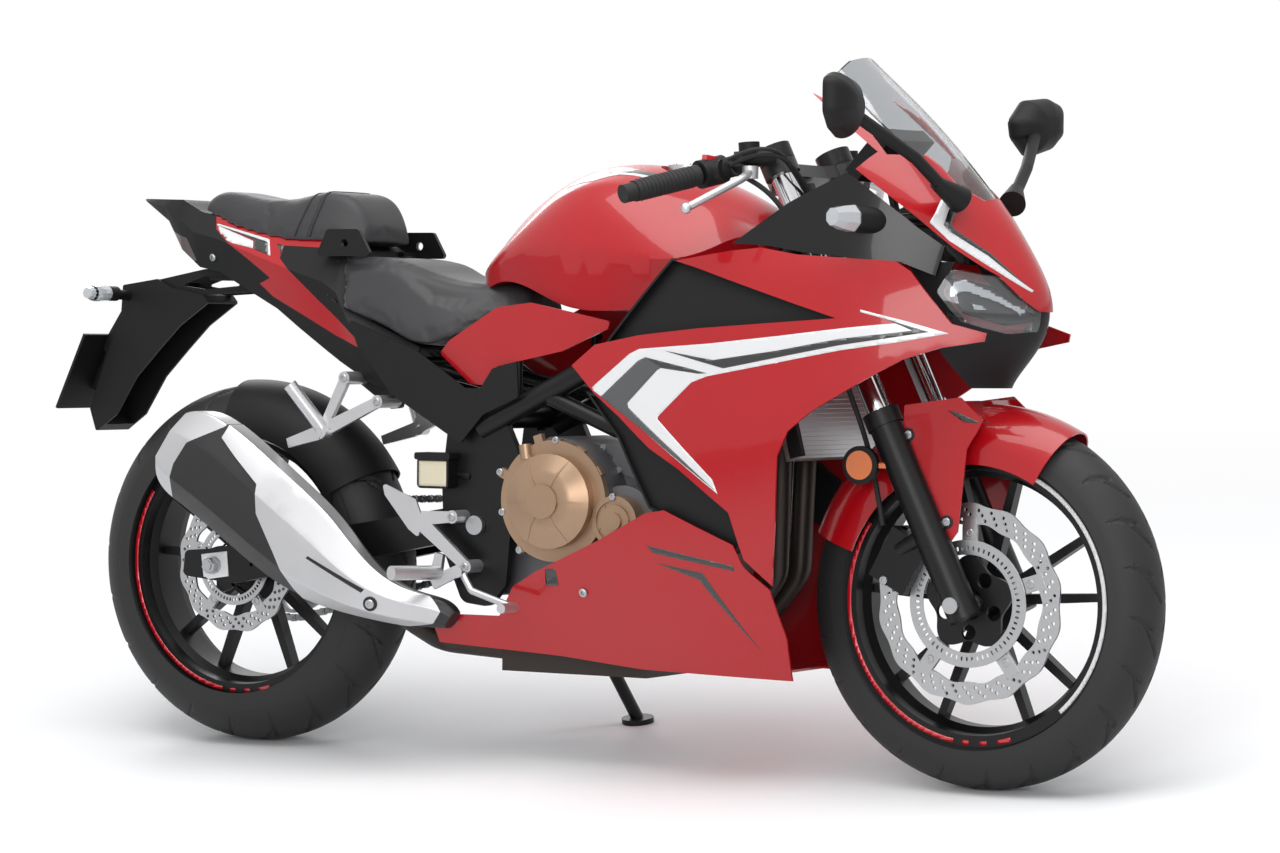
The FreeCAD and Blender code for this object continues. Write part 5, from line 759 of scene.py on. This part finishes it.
def turned_part(profile, sides):
    """A small part turned about Z from (radius, height) pairs; a radius of 0 closes an end."""
    points, faces, rings = [], [], []
    for radius, height in profile:
        turns = range(sides if radius else 1)
        rings.append([len(points) + k for k in turns])
        points += [(*polar(360 * k / sides, radius), height) for k in turns]
    for low, high in zip(rings, rings[1:]):
        for k in range(sides):
            corners = [ring[n % len(ring)] for ring, n in ((low, k), (low, k + 1), (high, k + 1), (high, k))]
            faces.append(list(dict.fromkeys(corners)))
    return part_of(points, faces)


# %% Stitches beside the welts
STITCH_RADIUS, STITCH_LENGTH, STITCH_RISE, STITCH_PITCH, STITCH_OFFSET = 0.7, 3.6, 0.5, 6.0, 6.5
stitch = tube([(-STITCH_LENGTH / 2, 0, 0), (0, 0, STITCH_RISE), (STITCH_LENGTH / 2, 0, 0)], STITCH_RADIUS, 1)


def beside(seam, offset_x):
    """Stitch places at an even pitch along a seam, moved fore or aft of it."""
    places, left = [], 0.0
    for (a, way_a), (b, way_b) in zip(seam, seam[1:]):
        run = b - a
        at = left
        while at < run.length:
            share = at / run.length
            spot = a + run * share + Vector((offset_x, 0, 0))
            places.append((spot, way_a.lerp(way_b, share), run.normalized()))
            at += STITCH_PITCH
        left = at - run.length
    return places


stitches = beside(front_seam, -STITCH_OFFSET) + beside(back_seam, STITCH_OFFSET)
set_out("pillion_stitches", stitch, stitches, "bike", "seat_cover")

# %% [markdown]
# ## Stripes laid on the panels
# The stripes are thin coloured film stuck on the paint. Each is drawn as a flat outline, as seen from
# the side or from above, cut into small cells and dropped in a straight line on the panel. So it
# follows every bend, and a thickness turned inwards hides its edge.

# %% Film
FILM_LIFT, OVER_FILM_LIFT, TOP_FILM_LIFT, FILM_CELL, FILM_THICKNESS_M = 0.45, 0.8, 0.9, 5.0, 0.0009
SIDE_FROM, FAR_FROM = 700, 1500
# The sides that a drawing is laid on: -1 is the right, and what is drawn whole is laid once.
BOTH, RIGHT, LEFT, ONCE = (-1, 1), (-1,), (1,), (1,)


def vinyl(name, base, roughness=0.3, tone=0.85, coat=0.8):
    """Printed film: even, hard and bright."""
    return finish_of(name, base, roughness, grain_mm=4, grain=0.02, tone=tone, Coat_Weight=coat)


# White film also paints the highlight on the rims' lips.
FINISHES["white_film"] = vinyl("white_film_and_painted_rim_highlight", "#dededf", tone=0.97)
FINISHES["black_film"] = vinyl("black_vinyl_film", "#101011")
FINISHES["grey_film"] = vinyl("dark_grey_vinyl_film", "#47484a", roughness=0.35, coat=0.6)
FINISHES["red_film"] = vinyl("red_vinyl_film", "#d01224")

# Where a straight line to a mark starts, and the way it goes, for a drawing seen from each place
VIEWS = {
    "side": lambda u, v, side: (Vector((u, SIDE_FROM * side, v)), Vector((0, -side, 0))),
    "above": lambda u, v, side: (Vector((u, v * side, FAR_FROM)), Vector((0, 0, -1))),
    "behind": lambda u, v, side: (Vector((-FAR_FROM, u * side, v)), Vector((1, 0, 0))),
}


def landing(skin, view, u, v, side):
    """Where a mark of a flat drawing falls on a skin, and the way outwards there, or nothing."""
    start, way = VIEWS[view](u, v, side)
    spot, normal = skin.ray_cast(start, way)[:2]
    if spot is None:
        return None, None
    return spot, (-normal if normal.dot(way) > 0 else normal)


def laid(outline, skin, side, lift, view):
    """A mesh of one outline, cut into cells and laid on a skin, with its faces turned outwards."""
    book = bmesh.new()
    book.faces.new([book.verts.new((u, v, 0)) for u, v in outline])
    for axis, across in ((0, Vector((1, 0, 0))), (1, Vector((0, 1, 0)))):
        values = [corner[axis] for corner in outline]
        for k in range(1, int((max(values) - min(values)) / FILM_CELL) + 1):
            bmesh.ops.bisect_plane(book, geom=book.verts[:] + book.edges[:] + book.faces[:],
                                   plane_co=across * (min(values) + k * FILM_CELL), plane_no=across)
    bmesh.ops.triangulate(book, faces=book.faces[:])
    lost = []
    for vertex in book.verts:
        spot, up = landing(skin, view, vertex.co.x, vertex.co.y, side)
        if spot is None:
            lost.append(vertex)
        else:
            vertex.co = spot + up * lift
    bmesh.ops.delete(book, geom=lost, context="VERTS")
    bmesh.ops.recalc_face_normals(book, faces=book.faces)
    inwards = VIEWS[view](0, 0, side)[1]
    if sum(face.normal.dot(inwards) * face.calc_area() for face in book.faces) > 0:
        bmesh.ops.reverse_faces(book, faces=book.faces)
    return mesh_from(book)


def film(name, outlines, hosts, body, slot, finish, lift=FILM_LIFT, sides=BOTH, view="side"):
    """Film on the hosts, drawn as (x, z) from the side, (x, y) from above or (y, z) from behind."""
    skin = solids_tree(hosts)
    parts = [laid(outline, skin, side, lift, view) for side in sides for outline in outlines]
    wall = finish_piece(name, joined(parts), body, slot, FINISHES[finish]).modifiers.new("wall", "SOLIDIFY")
    wall.thickness, wall.offset = FILM_THICKNESS_M, -1.0


# %% Fairing, nose, tank and tail stripes
FAIRING_WHITE = [(718, 726), (653, 745), (583, 762), (584, 758), (623, 748), (639, 741), (597, 737), (552, 732),
                 (445, 719), (324, 706), (189, 696), (170, 688), (96, 633), (98, 628), (114, 619), (197, 569),
                 (339, 467), (330, 490), (230, 584), (231, 589), (294, 644), (323, 654), (446, 677), (554, 698),
                 (640, 711)]
FAIRING_GREY = [(203, 683), (248, 673), (228, 663), (170, 609), (172, 602), (262, 532), (333, 474), (197, 569),
                (115, 618), (188, 677)]
FAIRING_TIP = [(203, 683), (281, 668), (323, 659), (307, 658), (235, 666)]
FAIRING_BAND = [(240, 694), (334, 680), (446, 696), (553, 716), (611, 723), (665, 730), (623, 748), (689, 728),
                (623, 717), (553, 706), (446, 685), (353, 667)]
film("fairing_film_white", [FAIRING_WHITE], ["side_fairings"], "bike", "red_plastic", "white_film")
film("fairing_film_grey", [FAIRING_GREY], ["side_fairings"], "bike", "red_plastic", "grey_film",
     OVER_FILM_LIFT)
film("fairing_film_black", [FAIRING_TIP, FAIRING_BAND], ["side_fairings"], "bike", "red_plastic",
     "black_film", TOP_FILM_LIFT)
NOSE_WHITE = [(640, 973), (674, 938), (674, 896), (685, 885), (734, 849), (792, 795), (791, 792), (742, 830),
              (685, 872), (656, 900), (660, 916), (662, 948)]
NOSE_BLACK = [(640, 973), (646, 969), (681, 934), (683, 926), (683, 901), (686, 892), (737, 852), (791, 796),
              (734, 849), (685, 885), (674, 896), (674, 938)]
film("nose_film_white", [NOSE_WHITE], ["nose_cowl"], "bike", "red_plastic", "white_film")
film("nose_film_black", [NOSE_BLACK], ["nose_cowl"], "bike", "red_plastic", "black_film")
TANK_WHITE = [(-38, -81), (11, -80), (39, -75), (60, -72), (84, -75), (124, -77), (161, -76), (152, -83),
              (124, -85), (89, -82), (65, -81), (46, -87), (21, -96)]
TANK_BLACK = [(6, -85), (24, -64), (50, -55), (75, -59), (120, -64), (168, -62), (161, -76), (124, -77),
              (84, -75), (60, -72), (39, -75), (11, -80)]
for tone, outline in (("white", TANK_WHITE), ("black", TANK_BLACK)):
    film("tank_film_" + tone, [outline], ["fuel_tank"], "bike", "red_metal", tone + "_film", OVER_FILM_LIFT,
         view="above")
TAIL_WHITE = [(-800, 911), (-755, 902), (-667, 874), (-662, 861), (-708, 870), (-767, 891)]
TAIL_BLACK = [(-755, 902), (-636, 872), (-627, 850), (-658, 859), (-666, 876)]
TAIL_LINE = [(-765, 907), (-634, 877), (-620, 848), (-626, 850), (-636, 872), (-755, 902)]
TAIL_RECESS = [(-614, 869), (-529, 851), (-521, 790), (-590, 839)]
film("tail_film_white", [TAIL_WHITE, TAIL_LINE], ["tail_cowl"], "bike", "red_plastic", "white_film")
film("tail_film_black", [TAIL_BLACK, TAIL_RECESS], ["tail_cowl"], "bike", "red_plastic", "black_film")

# %% [markdown]
# ## The stripes and the painted highlights on the rims
# Both rims carry a thin red stripe on the outer lip over one part of the turn. Over the rest, white film
# paints the highlight that the lip catches there. Both are the same film, as narrow sectors of a ring.

# %% Rim stripes and painted rim highlights
STRIPE_INNER, STRIPE_OUTER, STRIPE_STEP_DEG = 219.5, 226.5, 3
# The red spans are the stripe; the white spans are painted highlight, where the lip catches the lamps.
RED_SPANS, PAINTED_HIGHLIGHT_SPANS = ((147, 261), (265, 269), (273, 277), (281, 287)), ((-48, 96),)


def sector(centre, first_deg, last_deg):
    """The outline of a sector of the rim's lip about an axle, from one angle to another: stripe or painted
    highlight.
    """
    turns = range(first_deg, last_deg + 1, STRIPE_STEP_DEG)
    near = [turned(centre, turn, STRIPE_INNER) for turn in turns]
    far = [turned(centre, turn, STRIPE_OUTER) for turn in reversed(turns)]
    return [(point.x, point.z) for point in near + far]


for wheel, centre in (("front", FRONT_AXLE), ("rear", REAR_AXLE)):
    # The white sectors, front_rim_white and rear_rim_white, are painted highlight on the lip.
    for tone, spans in (("red", RED_SPANS), ("white", PAINTED_HIGHLIGHT_SPANS)):
        film(wheel + "_rim_" + tone, [sector(centre, *span) for span in spans], [wheel + "_rim"],
             wheel + "_wheel", "black_metal", tone + "_film")

# %% [markdown]
# ## Screws and bolts
# Each screw is a turned head with a round chamfer and a sunk socket. Only its place is written down;
# a straight line from the side finds the surface there, and the tree above sets the heads out, one
# piece for each body that carries them.

# %% Heads on surfaces
screw = turned_part([(7, -1.5), (7, 3.2), (6, 4.4), (3.4, 4.4), (3.2, 1.6), (0, 1.6)], 12)
washer = turned_part([(11, -1.5), (11, 1.2), (9.6, 2.0), (6.5, 2.0), (6.5, -1.0)], 14)
nut = turned_part([(14, -2), (14, 8), (12.6, 9.5), (9, 9.5), (8.6, 12), (0, 12)], 6)
HEAD_TURN = Vector((0.3, 0.2, 1))


def spots(hosts, marks, sides=BOTH, size=1.0, view="side"):
    """Places on the named solids under flat marks, ready for setting out."""
    skin, places = solids_tree(hosts), []
    for side in sides:
        for u, v in marks:
            spot, up = landing(skin, view, u, v, side)
            if spot is None:
                print("no surface at", u, v, "on", hosts)
            else:
                places.append((spot, up, HEAD_TURN, size))
    return places


FENDER_MARKS = [(610, 565), (679, 429)]
BRACKET_MARKS = [(-429, 640), (-362, 601), (-200, 412), (-173, 330)]
COVER_MARKS = [(-111, 489), (-4, 544), (44, 532), (80, 497), (108, 454), (-72, 361), (-106, 423), (-41, 559)]
CALIPER_MARKS = [(569, 333), (544, 412), (576, 437)]
LEFT_COVER_DROP = 6
fender_spots = spots(["front_fender"], FENDER_MARKS)
caliper_spots = spots(["front_caliper"], CALIPER_MARKS, RIGHT)
set_out("fender_washers", washer, fender_spots, "steering", "rubber")
set_out("fender_screws", screw, fender_spots + caliper_spots, "steering", "steel")
body_spots = []
for hosts, marks, sides, size in (
    (["pillion_footrests", "rider_footrests", "seat_rails", "main_frame"], BRACKET_MARKS, BOTH, 1.0),
    (["clutch_cover", "engine_block"], COVER_MARKS, RIGHT, 0.9),
    (["engine_block"], [(x, z - LEFT_COVER_DROP) for x, z in COVER_MARKS], LEFT, 0.9),
    (["belly_pan", "side_fairings"], [(60, 297)], BOTH, 1.1),
    (["tail_base"], [(-640, 800), (-760, 846)], BOTH, 1.0),
    (["nose_cowl"], [(642, 990)], BOTH, 0.8),
):
    body_spots += spots(hosts, marks, sides, size)
shield_spots = spots(["muffler_shield", "muffler"], [(-331, 264)], RIGHT, 1.15)
set_out("body_screws", screw, body_spots + shield_spots, "bike", "steel")
set_out("shield_washer", washer, shield_spots, "bike", "rubber")
axle_spots = spots(["rear_axles", "swingarm"], [(REAR_AXLE.x, REAR_AXLE.z)])
set_out("rear_axle_nuts", nut, axle_spots, "bike", "steel")

# %% Heads on the lid and the discs
LID_X, LID_RING, LID_SCREW_SCALE = 150, 26, 0.45
lid_spots = spots(["fuel_lid"], circle(LID_X, 0, LID_RING, 6), ONCE, view="above")
set_out("lid_screws", screw, lid_spots, "fuel_lid", "steel", scale=LID_SCREW_SCALE)
for wheel, centre, reach, y in (("front", FRONT_AXLE, 112.0, -70.0), ("rear", REAR_AXLE, 78.0, -75.0)):
    buttons = [(turned(centre, turn, reach, y), Vector((0, -1, 0)), Vector((0, 0, 1))) for turn in TABS]
    set_out(wheel + "_disc_buttons", screw, buttons, wheel + "_wheel", "steel")

# %% [markdown]
# ## Chain
# A drive chain alternates inner links, whose plates carry the rollers, with outer links, whose plates
# hold the pins. Its path is two straight runs and two arcs about the sprockets, so the rule is known
# and each joint can be placed exactly one pitch after the last.

# %% The chain's path
CHAIN_PITCH, FRONT_TEETH, REAR_TEETH, CHAIN_Y = 15.875, 15, 41, 102.0
FRONT_SPROCKET, REAR_SPROCKET = Vector((-97, CHAIN_Y, 404)), Vector((-705, CHAIN_Y, 312))
FRONT_ARC_STEPS, REAR_ARC_STEPS = 40, 90
front_r, rear_r = [CHAIN_PITCH / (2 * math.sin(math.pi / teeth)) for teeth in (FRONT_TEETH, REAR_TEETH)]
between = FRONT_SPROCKET - REAR_SPROCKET
slope = math.degrees(math.atan2(between.z, between.x))
spread = math.degrees(math.asin((rear_r - front_r) / between.length))
upper, lower = slope + 90 - spread, slope - 90 + spread


def arc(centre, radius, first_deg, last_deg, steps):
    """Points round a sprocket from one angle to another."""
    return [turned(centre, first_deg + (last_deg - first_deg) * k / steps, radius, CHAIN_Y)
            for k in range(steps + 1)]


def along_path(path, distance):
    """The point of a path at a distance from its start."""
    for a, b in zip(path, path[1:]):
        run = (b - a).length
        if distance <= run:
            return a + (b - a) * (distance / run)
        distance -= run
    return path[-1]


chain_path = arc(FRONT_SPROCKET, front_r, upper, lower, FRONT_ARC_STEPS)
chain_path += arc(REAR_SPROCKET, rear_r, lower, upper - 360, REAR_ARC_STEPS)
chain_path.append(chain_path[0])
path_length = sum((b - a).length for a, b in zip(chain_path, chain_path[1:]))
joint_count = 2 * round(path_length / CHAIN_PITCH / 2)
link_length = path_length / joint_count
chain_joints = [along_path(chain_path, k * link_length) for k in range(joint_count)]
print("chain joints:", joint_count, "pitch", round(link_length, 3))


# %% Inner and outer links
def link_part(inner_y, outer_y, end_radius, waist, pin_radius, pin_half):
    """Two waisted plates, and the two rollers or pins between them, as closed bars along Y."""
    ahead = [polar(turn, end_radius) for turn in range(-80, 81, 40)]
    behind = [polar(turn, end_radius) for turn in range(100, 261, 40)]
    side = [(link_length + x, z) for x, z in ahead] + [(link_length / 2, waist)]
    side += behind + [(link_length / 2, -waist)]
    bars = [(side, inner_y, outer_y), (side, -outer_y, -inner_y)]
    bars += [(circle(x, 0, pin_radius, 8), -pin_half, pin_half) for x in (0, link_length)]
    points, faces = [], []
    for outline, near, far in bars:
        count = len(outline)
        first = [len(points) + k for k in range(count)]
        second = [k + count for k in first]
        points += [(x, y, z) for y in (near, far) for x, z in outline]
        faces += [(first[k], first[(k + 1) % count], second[(k + 1) % count], second[k])
                  for k in range(count)]
        faces += [first, second[::-1]]
    return part_of(points, faces)


def link_places(parity):
    """The first joint of every second link, with the ways outwards and along the chain."""
    places = []
    for k in range(parity, joint_count, 2):
        along = (chain_joints[(k + 1) % joint_count] - chain_joints[k]).normalized()
        places.append((chain_joints[k], Vector((-along.z, 0, along.x)), along))
    return places


inner_link = link_part(inner_y=3.2, outer_y=4.9, end_radius=7.0, waist=4.6, pin_radius=5.0, pin_half=3.2)
outer_link = link_part(inner_y=5.1, outer_y=6.8, end_radius=6.6, waist=4.2, pin_radius=2.6, pin_half=8.0)
inner_links = set_out("chain_inner_links", inner_link, link_places(0), "bike", "steel", smooth=False)
set_out("chain_outer_links", outer_link, link_places(1), "bike", "steel", smooth=False)
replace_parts(inner_links, "chain")

# %% [markdown]
# ## Radiator
# The core is rows of flat tubes with thin fins between them. From a few steps away only the rows
# show, so each row is one slat, set out up the raked face.

# %% Radiator slats
RAKE_DEG, RADIATOR_CENTRE = 14.0, Vector((400, 0, 640))
SLAT_SIZE, SLAT_OUT, SLAT_PITCH, SLAT_COUNT, LOWEST_SLAT = (276, 2.2, 2.4), 12.6, 7.5, 31, -116.0
TANK_SIZE, TANK_OUT, TANK_Y = (22, 12, 238), 8.0, 146.0
face_out, face_up = turned(Vector(), RAKE_DEG, 1.0), turned(Vector(), RAKE_DEG + 90, 1.0)


def box_part(x, y, z):
    """A box of three sizes about its own middle."""
    book = bmesh.new()
    bmesh.ops.create_cube(book, size=1.0)
    bmesh.ops.scale(book, vec=(x, y, z), verts=book.verts)
    return mesh_from(book)


heights = [LOWEST_SLAT + SLAT_PITCH * k for k in range(SLAT_COUNT)]
slats = [(RADIATOR_CENTRE + face_up * height + face_out * SLAT_OUT, face_out, Vector((0, 1, 0)))
         for height in heights]
set_out("radiator_slats", box_part(*SLAT_SIZE), slats, "bike", "silver", smooth=False)
tanks = [(RADIATOR_CENTRE + face_out * TANK_OUT + Vector((0, side * TANK_Y, 0)), face_up, face_out)
         for side in BOTH]
set_out("radiator_tanks", box_part(*TANK_SIZE), tanks, "bike", "black_plastic")

# %% [markdown]
# ## Grips, switch and cables
# The grips have raised ribs, and the right switch box has a red stop switch. Black cables loop from
# the boxes over the yoke and down in front of the steering head, and the brake hose runs down beside
# the fork leg. All of it turns with the steering, so it rides on that body.

# %% Grips and switch
BAR_END, BAR_WAY = Vector((241, -345, 944)), Vector((-0.4518, -0.8612, -0.2326))
FIRST_RIB, RIB_PITCH, RIB_COUNT = 14.0, 7.5, 14
SWITCH_FROM_END, SWITCH_OFFSET, SWITCH_UP = 146.0, Vector((4, 0, 23)), Vector((0.1, 0.1, 1))
SWITCH_SIZE = (22, 14, 8)


def on_side(point, side):
    """A point or a way that is drawn on the right, for the side that is asked for."""
    return Vector((point[0], -side * point[1], point[2]))


rib = turned_part([(16.4, -1.5), (17.9, -1.0), (17.9, 1.0), (16.4, 1.5)], 20)
rib_spots = [BAR_END - BAR_WAY * (FIRST_RIB + RIB_PITCH * k) for k in range(RIB_COUNT)]
ribs = [(on_side(spot, side), on_side(BAR_WAY, side), Vector((0, 0, 1)))
        for side in BOTH for spot in rib_spots]
set_out("grip_ribs", rib, ribs, "steering", "rubber")
stop_switch = [(BAR_END - BAR_WAY * SWITCH_FROM_END + SWITCH_OFFSET, SWITCH_UP, BAR_WAY)]
set_out("stop_switch", box_part(*SWITCH_SIZE), stop_switch, "steering", "red_plastic", FINISHES["red_film"])

# %% Cables and hose
CABLE_RADIUS, HOSE_RADIUS = 3.2, 4.2
INNER_CABLE = [(340, -205, 990), (372, -204, 1004), (398, -192, 1008), (414, -166, 1003), (414, -134, 985),
               (420, -106, 955), (425, -82, 930), (424, -64, 908), (418, -50, 890), (413, -42, 873)]
OUTER_CABLE = [(340, -213, 999), (372, -212, 1013), (398, -200, 1017), (410, -174, 1012), (414, -140, 994),
               (426, -110, 962), (432, -86, 932), (431, -69, 908), (425, -56, 890), (421, -49, 873)]
BRAKE_HOSE = [(328, -200, 985), (362, -186, 972), (405, -162, 935), (436, -148, 870), (466, -143, 811),
              (488, -138, 745), (506, -120, 650), (534, -96, 555), (556, -98, 470), (566, -100, 420)]
cable_runs = [tube([on_side(point, side) for point in route], CABLE_RADIUS)
              for side in BOTH for route in (INNER_CABLE, OUTER_CABLE)]
cable_runs.append(tube(BRAKE_HOSE, HOSE_RADIUS))
finish_piece("control_cables", joined(cable_runs), "steering", "rubber")

# %% [markdown]
# ## Glass, display and small marks
# Mirror glass, the display, a fluid cup's window and the marks of vents, slots and plates are thin
# pieces laid on the solids in the same way as the stripes, each with its own finish.

# %% Mirror glass and display
FINISHES["mirror_glass"] = finish_of("silvered_mirror_glass", "#d9dcde", 0.04, metallic=1.0,
                                     grain_mm=6, grain=0.0, spread=0.02)
FINISHES["display"] = finish_of("smoked_display_window", "#20262b", 0.12, grain_mm=6, grain=0.0,
                                Coat_Weight=1.0)
FINISHES["display_field"] = finish_of("grey_liquid_crystal", "#8d9a8c", 0.3, grain_mm=6, grain=0.0)
MIRROR_SHAPE = [(64, 40), (28, 50), (-30, 44), (-64, 10), (-58, -20), (-20, -50), (34, -36), (64, -12)]
MIRROR_Y, MIRROR_Z, GLASS_WIDTH_SHARE, GLASS_HEIGHT_SHARE = 356, 1072, 0.87, 0.84
GLASS_LIFT, WINDOW_LIFT, FIELD_LIFT = 1.4, 0.6, 1.2


def rectangle(left, low, right, high):
    """The outline of a rectangle."""
    return [(left, low), (right, low), (right, high), (left, high)]


glass = [(MIRROR_Y + out * GLASS_WIDTH_SHARE, MIRROR_Z + up * GLASS_HEIGHT_SHARE) for out, up in MIRROR_SHAPE]
film("mirror_glass", [glass], ["mirrors"], "bike", "black_plastic", "mirror_glass", GLASS_LIFT, view="behind")
film("display_window", [rectangle(-68, 984, 68, 1036)], ["instrument_panel"], "bike", "black_plastic",
     "display", WINDOW_LIFT, ONCE, "behind")
film("display_field", [rectangle(-54, 992, 54, 1028)], ["instrument_panel"], "bike", "black_plastic",
     "display_field", FIELD_LIFT, ONCE, "behind")

# %% Slots, vents, the fluid cup and the arm's plates
FINISHES["cream"] = finish_of("cream_fluid_cup", "#d8cfb4", 0.35, grain_mm=3, grain=0.05, Coat_Weight=0.3)
BELLY_SLOTS = [[(197, 380), (357, 352), (357, 344), (210, 368)],
               [(213, 352), (299, 339), (372, 225), (379, 214), (290, 328)],
               [(-12, 333), (9, 334), (11, 306), (-16, 304)]]
FENDER_VENT = [(678, 605), (696, 602), (738, 586), (707, 587)]
ARM_PLATE = [(-732, 330), (-678, 337), (-674, 294), (-726, 286)]
film("belly_slots", BELLY_SLOTS, ["belly_pan", "side_fairings"], "bike", "red_plastic", "black_film")
film("fender_vents", [FENDER_VENT], ["front_fender"], "steering", "red_plastic", "black_film")
film("fluid_cup_front", [rectangle(-272, 462, -218, 504)], ["rear_brake"], "bike", "black_metal", "cream",
     WINDOW_LIFT, RIGHT)
film("arm_plates", [ARM_PLATE], ["swingarm"], "bike", "silver", "white_film", OVER_FILM_LIFT)

# %% [markdown]
# ## Headlight surrounds
# A flat black plate stands behind the rear corner of each lens and closes the gap to the fairing.

# %% One plate on each side
SURROUND_Y, SURROUND_THICKNESS = 128.0, 2.5
SURROUND = [(618, 838), (676, 752), (698, 748), (680, 790), (690, 820), (700, 838)]
surround_plates = [plate(Vector(), side * SURROUND_Y, SURROUND_THICKNESS, SURROUND) for side in BOTH]
finish_piece("headlight_surrounds", joined(surround_plates), "bike", "black_plastic", smooth=False)

# %% [markdown]
# ## Inside the headlights
# Behind each clear lens sits a black bowl with a bright reflector along its upper edge. Both are laid
# on the lens in the same way as a film, but sunk below its surface instead of raised.

# %% Bowls and reflectors
BOWL_LIFT, REFLECTOR_LIFT = -11.0, -7.0
FINISHES["bowl"] = finish_of("black_lamp_bowl", "#08080a", 0.18, grain_mm=6, grain=0.0, Coat_Weight=0.5)
FINISHES["reflector"] = finish_of("aluminised_reflector", "#c9ccd0", 0.14, metallic=1.0, grain_mm=8,
                                  grain=0.0)
LAMP_BOWL = [(694, 814), (687, 792), (713, 757), (764, 738), (800, 746), (797, 756), (748, 802), (716, 812)]
LAMP_REFLECTOR = [(697, 808), (713, 812), (747, 796), (788, 765), (783, 750), (776, 761), (753, 777),
                  (719, 791), (705, 790), (696, 779), (690, 790)]
LAMP_BEAD = [(722, 776), (741, 770), (744, 763), (728, 760)]
film("lamp_bowls", [LAMP_BOWL], ["headlights"], "bike", "black_gloss", "bowl", BOWL_LIFT)
film("lamp_reflectors", [LAMP_REFLECTOR, LAMP_BEAD], ["headlights"], "bike", "silver", "reflector",
     REFLECTOR_LIFT)

# %% [markdown]
# ## Reflector housings
# A turned black ring goes round each amber reflector of the fork, with its face a little proud.

# %% One ring on each side
REFLECTOR_CENTRE = Vector((540, -122, 516))
housing = turned_part([(23.3, 8.0), (23.3, 11.4), (30.6, 10.8), (30.6, -0.4)], 36)
housings = [(on_side(REFLECTOR_CENTRE, side), Vector((0, side, 0)), Vector((0, 0, 1))) for side in BOTH]
set_out("reflector_housings", housing, housings, "steering", "black_plastic")

# %% [markdown]
# ## Turn signals
# Each lamp has a clear moulding that fits over its dark housing like a cap: an eight-sided one with
# fine ribs in front, and a round one behind. Both are turned from a short profile.

# %% Lenses of the turn signals
FINISHES["clear_cap"] = finish_of("ribbed_clear_acrylic", "#b9bdc0", 0.16, grain_mm=5, grain=0.6,
                                  Coat_Weight=1.0)
FRONT_ROOT, FRONT_END = Vector((566, -214, 904)), Vector((552, -258, 906))
REAR_ROOT, FACET_WAY = Vector((-952, -98, 781)), Vector((0.38, 0, 0.92))
front_way = FRONT_END - FRONT_ROOT
reach = front_way.length
front_cap = turned_part([(21.6, 4), (22.6, 7), (19.5, reach * 0.62), (14.5, reach + 1.5),
                         (0, reach + 2.5)], 8)
front_places = [(on_side(FRONT_ROOT, side), on_side(front_way, side).normalized(), FACET_WAY)
                for side in BOTH]
set_out("front_signal_caps", front_cap, front_places, "bike", "lens", FINISHES["clear_cap"], smooth=False)
rear_cap = turned_part([(13.6, 26), (14.2, 28), (14.2, 62), (9.2, 82), (0, 83)], 12)
rear_places = [(on_side(REAR_ROOT, side), Vector((0, side, 0)), Vector((1, 0, 0))) for side in BOTH]
set_out("rear_signal_caps", rear_cap, rear_places, "bike", "lens", FINISHES["clear_cap"])
